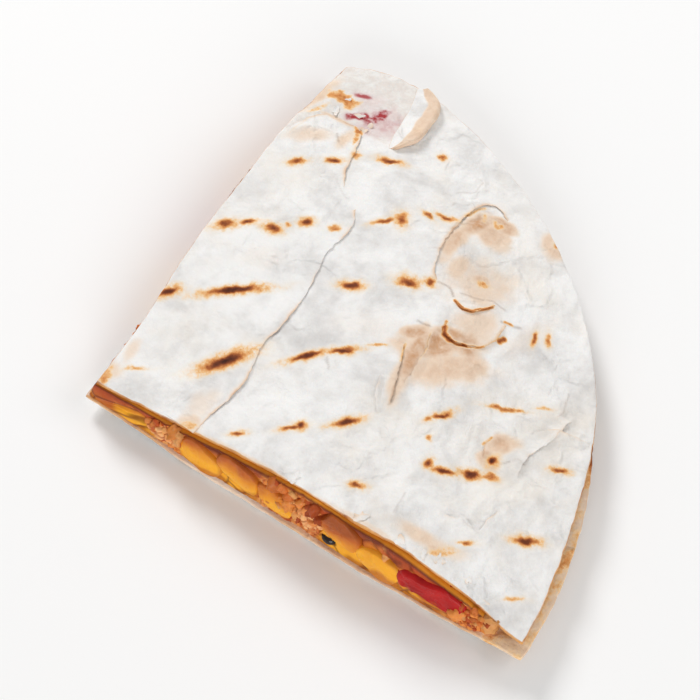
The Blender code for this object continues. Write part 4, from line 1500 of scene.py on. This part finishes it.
def build_chicken(settings):
    """Lumps of minced chicken: balls pressed against the cut, swollen by 1 - d at distance d
    from each grain's middle."""
    colours = settings.colours
    food = painted_food("chicken", 0.06, 0.30, 0.55, 1500.0, 0.00030, 0.15)
    pale, red, brown = (np.array(c[:3]) for c in (colours.chicken, colours.sauce, colours.juices))
    for number, node in enumerate(("chicken_front_1", "chicken_front_2", "chicken_left_1", "chicken_left_2")):
        long, deep, tall = node_size(node)
        x, y, z = rounded_block(72, 96, 0.62, 0.85)
        deeper = 0.9 * MM if "_left_" in node else 0.0
        points = in_cut(node, x * 0.60 * long, deeper - 0.1 * MM + (y + 0.7) * 0.45 * deep, z * 0.60 * tall)
        away, gap, kind = cells(points, 0.0019, 241 + number)
        grain = 0.75 * (0.6 - away) + 0.55 * (kind - 0.5) - 0.30 * smooth(1 - gap / 0.2)
        radial = np.stack([x, y, z] if "_front_" in node else [y, x, z], axis=-1)
        points = points + 0.9 * MM * (grain + 0.15 * rough(points, 0.0008, 251))[..., None] * radial
        points, faces = closed_ball(points)
        away, gap, kind = cells(points, 0.0019, 241 + number)
        tint = mix(pale, np.array(colours.mince[:3]), (smooth((kind - 0.55) / 0.2))[:, None])
        tint = mix(tint, red, (0.60 * smooth(1 - gap / 0.18) + 0.25 * smooth((kind - 0.85) / 0.1))[:, None])
        name = node.replace("chicken", "chicken_lump")
        make_piece(name, points, faces, food, ball_paints(points, tint), [node])


def build_beans(settings):
    """Black beans: smooth balls, hollowed a little below."""
    food = painted_food("bean", 0.35, 0.14, 0.34, 500.0, 0.00008)
    for number, node in enumerate(("bean_front_1", "bean_left_1")):
        long, deep, tall = node_size(node)
        x, y, z = rounded_block(30, 40, 0.8, 0.95)
        z = z + 0.18 * np.maximum(0, -z) * (1 - y * y)
        points = in_cut(node, x * 0.55 * long, -0.2 * MM + (y + 0.8) * 0.5 * deep, z * 0.6 * tall)
        points, faces = closed_ball(points)
        tint = np.array(settings.colours.bean[:3]) * (1 + 0.3 * hills(points, 0.002, 271 + number))[:, None]
        name = node.replace("bean", "black_bean")
        make_piece(name, points, faces, food, ball_paints(points, tint), [node])


def scatter(rng, count, depth):
    """Places on both cut faces, drawn at random where the mince is crumbly."""
    left = rng.random(count) < 0.5
    tries = rng.uniform(0.012, 0.093, (60, count))
    mince, _, _ = story(tries, left)
    pick = np.argmax(mince - 0.3 > rng.random((60, count)), axis=0)
    along = tries[pick, np.arange(count)]
    share = rng.uniform(0.10, 0.90, count)
    zero = np.zeros(count)
    height = np.where(left, between(zero, along, share), between(along, zero, share))
    sunk = rng.uniform(*depth, count)
    at_left = against_cut("left", along, height, sunk + 0.9 * MM)
    at_front = against_cut("front", along, height, sunk)
    return np.where(left[:, None], at_left, at_front)


def many(shape, centres, sizes, rng):
    """Copies of one small body, each with its own size and turned at random by a unit
    quaternion. Returns points (copy, point, 3)."""
    turn = rng.normal(size=(len(centres), 4))
    w, i, j, k = (turn / np.linalg.norm(turn, axis=1, keepdims=True)).T
    spin = np.array([
        [1 - 2 * (j * j + k * k), 2 * (i * j - k * w), 2 * (i * k + j * w)],
        [2 * (i * j + k * w), 1 - 2 * (i * i + k * k), 2 * (j * k - i * w)],
        [2 * (i * k - j * w), 2 * (j * k + i * w), 1 - 2 * (i * i + j * j)],
    ]).transpose(2, 0, 1)
    sized = shape[None] * sizes[:, None, :]
    return np.einsum("nab,npb->npa", spin, sized) + centres[:, None]


def join_copies(copies, faces):
    """Points and faces of many copies of one body."""
    count, each = copies.shape[:2]
    joined = [tuple(n * each + corner for corner in face) for n in range(count) for face in faces]
    return copies.reshape(-1, 3), joined


def build_crumbs(settings):
    """Crumbs of mince pressed into the cut faces, each a small block crumpled by noise."""
    sizes, colours = settings.filling, settings.colours
    rng = np.random.default_rng(7)
    count = sizes.crumbs
    centres = scatter(rng, count, (0.1 * MM, 0.8 * MM))
    shape, faces = closed_ball(np.stack(rounded_block(10, 14, 0.8, 0.8), axis=-1))
    faces = facing_out(shape, faces)
    span = rng.lognormal(math.log(0.62), 0.40, count)[:, None] * rng.uniform(0.6, 1.4, (count, 3)) * MM
    copies = many(shape, centres, span, rng)
    crumple = 0.38 * rough(copies, 0.0009, 281) - 0.20 * ridges(copies, 0.0012, 285)
    copies = copies + (copies - centres[:, None]) * crumple[..., None]
    points, joined = join_copies(copies, faces)
    tint = np.array(MINCE_TONES)[rng.integers(0, len(MINCE_TONES), count)]
    tint = tint * rng.uniform(0.80, 1.12, (count, 1))
    each = np.repeat(tint, copies.shape[1], axis=0)
    food = painted_food("crumbs", 0.05, 0.28, 0.60, 1800.0, 0.00020, 0.12)
    make_piece("mince_crumbs", points, joined, food, ball_paints(points, each))


def build_flakes(settings):
    """Papery flakes of skin torn loose along the front cut and at the creases: thin discs whose
    outline is 1 + a cos 3b + c cos 5b round them, dished by their own distance squared."""
    rng = np.random.default_rng(19)
    spots = np.concatenate([
        np.stack([rng.uniform(75, 86, 5), rng.uniform(1.5, 4.0, 5)], axis=1),
        np.stack([rng.uniform(8, 96, 5), rng.uniform(1.0, 1.6, 5)], axis=1),
        np.stack([rng.uniform(2, 13, 6), rng.uniform(77, 86, 6)], axis=1),
    ]) * MM
    x, y = spots.T
    count = len(x)
    centres = np.stack([x, y, upper_surface(x, y, settings.tortilla) + 0.02 * MM], axis=1)
    shape, faces = closed_ball(np.stack(rounded_block(9, 30, 0.9, 1.0), axis=-1)[..., [0, 2, 1]])
    faces = facing_out(shape, faces)
    around = np.arctan2(shape[:, 1], shape[:, 0])[None]
    start = rng.uniform(0, math.tau, (count, 2, 1))
    outline = 1 + 0.22 * np.cos(3 * around + start[:, 0]) + 0.14 * np.cos(5 * around + start[:, 1])
    long = rng.uniform(0.5, 1.5, (count, 1)) * MM
    narrow = long * rng.uniform(0.35, 0.8, (count, 1))
    turn = rng.uniform(0, math.tau, (count, 1))
    a, b = shape[None, :, 0] * outline * long, shape[None, :, 1] * outline * narrow
    dish = 0.30 * (shape[:, 0] ** 2)[None] * long * rng.uniform(-0.2, 1.0, (count, 1))
    tilt = a * rng.uniform(-0.25, 0.25, (count, 1)) + b * rng.uniform(-0.25, 0.25, (count, 1))
    height = shape[None, :, 2] * 0.05 * MM + dish + tilt
    copies = np.stack([a * np.cos(turn) - b * np.sin(turn), a * np.sin(turn) + b * np.cos(turn), height], axis=-1)
    points, joined = join_copies(copies + centres[:, None], faces)
    zero = np.zeros(len(points))
    paints = {key: zero for key in ("char", "peel", "blush", "seam", "stain")}
    rim = np.tile(np.hypot(shape[:, 0], shape[:, 1]), count)
    paints["toast"] = np.clip(0.20 * rim + 0.5 * hills(points, 0.004, 291), 0, 0.5)
    make_piece("skin_flakes", points, joined, flour_skin(settings.colours), paints)


# Stage


def build_stage(settings):
    """A pale floor, broad soft lights and the camera."""
    stage = settings.stage
    middle = Vector(((CAD_BOX[0][0] + CAD_BOX[1][0]) / 2, (CAD_BOX[0][1] + CAD_BOX[1][1]) / 2, 0.0))
    half = 3.0
    floor = bpy.data.meshes.new("floor")
    floor.from_pydata([(-half, -half, 0), (half, -half, 0), (half, half, 0), (-half, half, 0)], [], [(0, 1, 2, 3)])
    made, _, shader = new_material("pale_floor", 0.0)
    shader.inputs["Base Color"].default_value = stage.floor
    shader.inputs["Roughness"].default_value = 0.9
    floor.materials.append(made)
    ground = bpy.data.objects.new("floor", floor)
    bpy.context.scene.collection.objects.link(ground)
    world = bpy.data.worlds.new("soft_sky")
    world.use_nodes = True
    sky = world.node_tree.nodes["Background"]
    sky.inputs["Color"].default_value = (1.0, 0.99, 0.975, 1.0)
    sky.inputs["Strength"].default_value = stage.sky
    bpy.context.scene.world = world
    lamps = (
        ("window", 236, 32, 1.40, 0.45, stage.window),
        ("side_fill", 125, 40, 1.40, 0.90, stage.side),
        ("front_fill", 25, 16, 1.40, 0.90, stage.fill),
    )
    for name, azimuth, elevation, distance, size, watts in lamps:
        lamp = bpy.data.lights.new(name, "AREA")
        lamp.shape = "DISK"
        lamp.size = size
        lamp.energy = watts
        lit = bpy.data.objects.new(name, lamp)
        bpy.context.scene.collection.objects.link(lit)
        away = view_direction(azimuth, elevation)
        lit.location = middle + away * distance
        lit.rotation_euler = away.to_track_quat("Z", "Y").to_euler()
    add_camera(stage)
    bpy.context.scene.view_settings.view_transform = "Standard"


def view_direction(azimuth, elevation):
    """Direction from the middle towards a viewer: azimuth 0 stands in front, at -Y."""
    turn, rise = math.radians(azimuth), math.radians(elevation)
    return Vector((math.sin(turn) * math.cos(rise), -math.cos(turn) * math.cos(rise), math.sin(rise)))


def add_camera(stage):
    """A camera that looks at its aim from its distance, rolled about its own axis."""
    lens = bpy.data.cameras.new("camera")
    lens.lens = stage.lens
    lens.clip_start = 0.01
    camera = bpy.data.objects.new("camera", lens)
    bpy.context.scene.collection.objects.link(camera)
    away = view_direction(stage.azimuth, stage.elevation)
    target = Vector((TIP[0] + stage.aim_x, TIP[1] + stage.aim_y, 0.008))
    camera.location = target + away * stage.distance
    upright = away.to_track_quat("Z", "Y").to_matrix()
    camera.rotation_euler = (upright @ Matrix.Rotation(math.radians(stage.roll), 3, "Z")).to_euler()
    bpy.context.scene.camera = camera


# Settings, operators and panel


def colour_of(name, description, value):
    """A colour property."""
    return bpy.props.FloatVectorProperty(
        name=name, description=description, default=value, size=4, subtype="COLOR", min=0, max=1
    )


def length_of(name, description, value):
    """A length property, in metres."""
    return bpy.props.FloatProperty(
        name=name, description=description, default=value, min=0, unit="LENGTH", precision=5
    )


def number_of(name, description, value):
    """A number that isn't negative."""
    return bpy.props.FloatProperty(name=name, description=description, default=value, min=0)


class TortillaSizes(bpy.types.PropertyGroup):
    """Sizes of the tortillas' skin."""

    relief: number_of("Relief", "How deep the skin's hills and creases are", 1.0)
    lift: number_of("Lift", "How far split skin stands off the dough", 1.0)
    flap: length_of("Flap Height", "Height of the curled flap at the far corner", 0.0018)


class FillingSizes(bpy.types.PropertyGroup):
    """Sizes in the filling."""

    lump: length_of("Lump Height", "How far lumps of mince stand out of a cut", 0.0010)
    kernel: length_of("Kernel Length", "Length of a sweetcorn kernel", 0.0090)
    crumbs: bpy.props.IntProperty(
        name="Crumbs", description="Number of loose crumbs in both cuts", default=420, min=0, max=2000
    )


class FoodColours(bpy.types.PropertyGroup):
    """Colours of the bread and of what is in it."""

    flour: colour_of("Flour", "Clean floury skin", (0.90, 0.89, 0.877, 1.0))
    # Grey of the skin's blotches: partly its own tone, partly painted shade of its crumples.
    flour_grey_and_painted_shade: colour_of("Flour Shade", "Grey blotches of the skin", (0.655, 0.635, 0.62, 1.0))
    cream: colour_of("Cream", "Creamy blotches of the skin", (0.86, 0.79, 0.70, 1.0))
    peach: colour_of("Peach", "Lightly toasted skin", (0.865, 0.675, 0.51, 1.0))
    toast: colour_of("Toast", "Toasted skin", (0.58, 0.31, 0.155, 1.0))
    dough: colour_of("Dough", "Dough under the outer skin", (0.86, 0.85, 0.82, 1.0))
    dough_shade: colour_of("Dough Shade", "Dough's darker specks", (0.76, 0.69, 0.64, 1.0))
    blush: colour_of("Blush", "Pink stain on the bare dough", (0.66, 0.37, 0.40, 1.0))
    stain_pale: colour_of("Pale Stain", "Skin lightly stained by the filling", (0.70, 0.33, 0.085, 1.0))
    stain_deep: colour_of("Deep Stain", "Skin soaked by the filling", (0.30, 0.055, 0.014, 1.0))
    mince: colour_of("Mince", "Minced chicken in sauce", (0.80, 0.30, 0.080, 1.0))
    chicken: colour_of("Chicken", "Plain cooked chicken", (0.88, 0.46, 0.19, 1.0))
    cheese: colour_of("Cheese", "Melted amber cheese", (0.74, 0.27, 0.020, 1.0))
    sauce: colour_of("Sauce", "Orange-red sauce", (0.42, 0.072, 0.018, 1.0))
    juices: colour_of("Juices", "Dark cooked juices", (0.075, 0.010, 0.003, 1.0))
    corn: colour_of("Corn", "Sweetcorn", (0.90, 0.42, 0.026, 1.0))
    pepper: colour_of("Pepper", "Red pepper skin", (0.40, 0.009, 0.009, 1.0))
    pepper_flesh: colour_of("Pepper Flesh", "Red pepper flesh", (0.72, 0.19, 0.030, 1.0))
    bean: colour_of("Bean", "Black bean", (0.020, 0.012, 0.010, 1.0))


class StageSettings(bpy.types.PropertyGroup):
    """Floor, light and camera."""

    floor: colour_of("Floor", "The floor", (0.93, 0.93, 0.93, 1.0))
    sky: number_of("Sky", "Strength of the light all round", 0.42)
    window: number_of("Window", "Power of the main light in watts", 12.0)
    side: number_of("Side", "Power of the light at the right in watts", 4.8)
    fill: number_of("Fill", "Power of the light in front in watts", 10.5)
    azimuth: number_of("Azimuth", "Camera's turn from the front in degrees", 32.3)
    elevation: number_of("Elevation", "Camera's height in degrees", 58.8)
    roll: number_of("Roll", "Camera's turn about its own axis in degrees", 1.7)
    lens: number_of("Lens", "Focal length in millimetres", 123.3)
    distance: length_of("Distance", "Camera's distance from its target", 0.4842)
    aim_x: length_of("Aim X", "Target's distance from the tip along X", 0.0375)
    aim_y: length_of("Aim Y", "Target's distance from the tip along Y", 0.0345)


class QuesadillaSettings(bpy.types.PropertyGroup):
    """All the settings of the wedge."""

    tortilla: bpy.props.PointerProperty(type=TortillaSizes)
    filling: bpy.props.PointerProperty(type=FillingSizes)
    colours: bpy.props.PointerProperty(type=FoodColours)
    stage: bpy.props.PointerProperty(type=StageSettings)


class QUESADILLA_OT_lower_tortilla(bpy.types.Operator):
    """Build the lower tortilla"""

    bl_idname = "quesadilla.lower_tortilla"
    bl_label = "Lower Tortilla"
    bl_options = {"REGISTER", "UNDO"}

    def execute(self, context):
        build_lower_tortilla(context.scene.quesadilla)
        return {"FINISHED"}


class QUESADILLA_OT_upper_tortilla(bpy.types.Operator):
    """Build the upper tortilla"""

    bl_idname = "quesadilla.upper_tortilla"
    bl_label = "Upper Tortilla"
    bl_options = {"REGISTER", "UNDO"}

    def execute(self, context):
        build_upper_tortilla(context.scene.quesadilla)
        return {"FINISHED"}


class QUESADILLA_OT_lifted_skins(bpy.types.Operator):
    """Build the skins that have split and lifted"""

    bl_idname = "quesadilla.lifted_skins"
    bl_label = "Lifted Skins"
    bl_options = {"REGISTER", "UNDO"}

    def execute(self, context):
        build_lifted_skins(context.scene.quesadilla)
        return {"FINISHED"}


class QUESADILLA_OT_curled_flap(bpy.types.Operator):
    """Build the curled flap at the far corner"""

    bl_idname = "quesadilla.curled_flap"
    bl_label = "Curled Flap"
    bl_options = {"REGISTER", "UNDO"}

    def execute(self, context):
        build_curled_flap(context.scene.quesadilla)
        return {"FINISHED"}


class QUESADILLA_OT_skin_flakes(bpy.types.Operator):
    """Build the torn flakes of skin"""

    bl_idname = "quesadilla.skin_flakes"
    bl_label = "Skin Flakes"
    bl_options = {"REGISTER", "UNDO"}

    def execute(self, context):
        build_flakes(context.scene.quesadilla)
        return {"FINISHED"}


class QUESADILLA_OT_filling(bpy.types.Operator):
    """Build the mince and cheese between the tortillas"""

    bl_idname = "quesadilla.filling"
    bl_label = "Mince and Cheese"
    bl_options = {"REGISTER", "UNDO"}

    def execute(self, context):
        build_filling(context.scene.quesadilla)
        return {"FINISHED"}


class QUESADILLA_OT_crumbs(bpy.types.Operator):
    """Build the crumbs in both cut faces"""

    bl_idname = "quesadilla.crumbs"
    bl_label = "Crumbs"
    bl_options = {"REGISTER", "UNDO"}

    def execute(self, context):
        build_crumbs(context.scene.quesadilla)
        return {"FINISHED"}


class QUESADILLA_OT_kernels(bpy.types.Operator):
    """Build the sweetcorn kernels"""

    bl_idname = "quesadilla.kernels"
    bl_label = "Sweetcorn"
    bl_options = {"REGISTER", "UNDO"}

    def execute(self, context):
        build_kernels(context.scene.quesadilla)
        return {"FINISHED"}


class QUESADILLA_OT_peppers(bpy.types.Operator):
    """Build the pieces of red pepper"""

    bl_idname = "quesadilla.peppers"
    bl_label = "Red Pepper"
    bl_options = {"REGISTER", "UNDO"}

    def execute(self, context):
        build_peppers(context.scene.quesadilla)
        return {"FINISHED"}


class QUESADILLA_OT_chicken(bpy.types.Operator):
    """Build the lumps of chicken"""

    bl_idname = "quesadilla.chicken"
    bl_label = "Chicken"
    bl_options = {"REGISTER", "UNDO"}

    def execute(self, context):
        build_chicken(context.scene.quesadilla)
        return {"FINISHED"}


class QUESADILLA_OT_beans(bpy.types.Operator):
    """Build the black beans"""

    bl_idname = "quesadilla.beans"
    bl_label = "Black Beans"
    bl_options = {"REGISTER", "UNDO"}

    def execute(self, context):
        build_beans(context.scene.quesadilla)
        return {"FINISHED"}


class QUESADILLA_OT_stage(bpy.types.Operator):
    """Build the floor, the lights and the camera"""

    bl_idname = "quesadilla.stage"
    bl_label = "Stage"
    bl_options = {"REGISTER", "UNDO"}

    def execute(self, context):
        build_stage(context.scene.quesadilla)
        return {"FINISHED"}


STEPS = (
    QUESADILLA_OT_lower_tortilla,
    QUESADILLA_OT_upper_tortilla,
    QUESADILLA_OT_lifted_skins,
    QUESADILLA_OT_curled_flap,
    QUESADILLA_OT_skin_flakes,
    QUESADILLA_OT_filling,
    QUESADILLA_OT_crumbs,
    QUESADILLA_OT_kernels,
    QUESADILLA_OT_peppers,
    QUESADILLA_OT_chicken,
    QUESADILLA_OT_beans,
    QUESADILLA_OT_stage,
)


class QUESADILLA_PT_sidebar(bpy.types.Panel):
    """The wedge's settings and the steps that build it"""

    bl_idname = "QUESADILLA_PT_sidebar"
    bl_label = "Quesadilla"
    bl_space_type = "VIEW_3D"
    bl_region_type = "UI"
    bl_category = "Quesadilla"

    def draw(self, context):
        settings = context.scene.quesadilla
        for part in (settings.tortilla, settings.filling, settings.colours, settings.stage):
            for field in type(part).__annotations__:
                self.layout.prop(part, field)
        for step in STEPS:
            self.layout.operator(step.bl_idname)


CLASSES = (
    TortillaSizes,
    FillingSizes,
    FoodColours,
    StageSettings,
    QuesadillaSettings,
    *STEPS,
    QUESADILLA_PT_sidebar,
)


def register():
    for kind in CLASSES:
        bpy.utils.register_class(kind)
    bpy.types.Scene.quesadilla = bpy.props.PointerProperty(type=QuesadillaSettings)


def unregister():
    del bpy.types.Scene.quesadilla
    for kind in reversed(CLASSES):
        bpy.utils.unregister_class(kind)


def main():
    """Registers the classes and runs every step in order."""
    register()
    bpy.ops.quesadilla.lower_tortilla()
    bpy.ops.quesadilla.upper_tortilla()
    bpy.ops.quesadilla.lifted_skins()
    bpy.ops.quesadilla.curled_flap()
    bpy.ops.quesadilla.skin_flakes()
    bpy.ops.quesadilla.filling()
    bpy.ops.quesadilla.crumbs()
    bpy.ops.quesadilla.kernels()
    bpy.ops.quesadilla.peppers()
    bpy.ops.quesadilla.chicken()
    bpy.ops.quesadilla.beans()
    bpy.ops.quesadilla.stage()


if __name__ == "__main__":
    main()
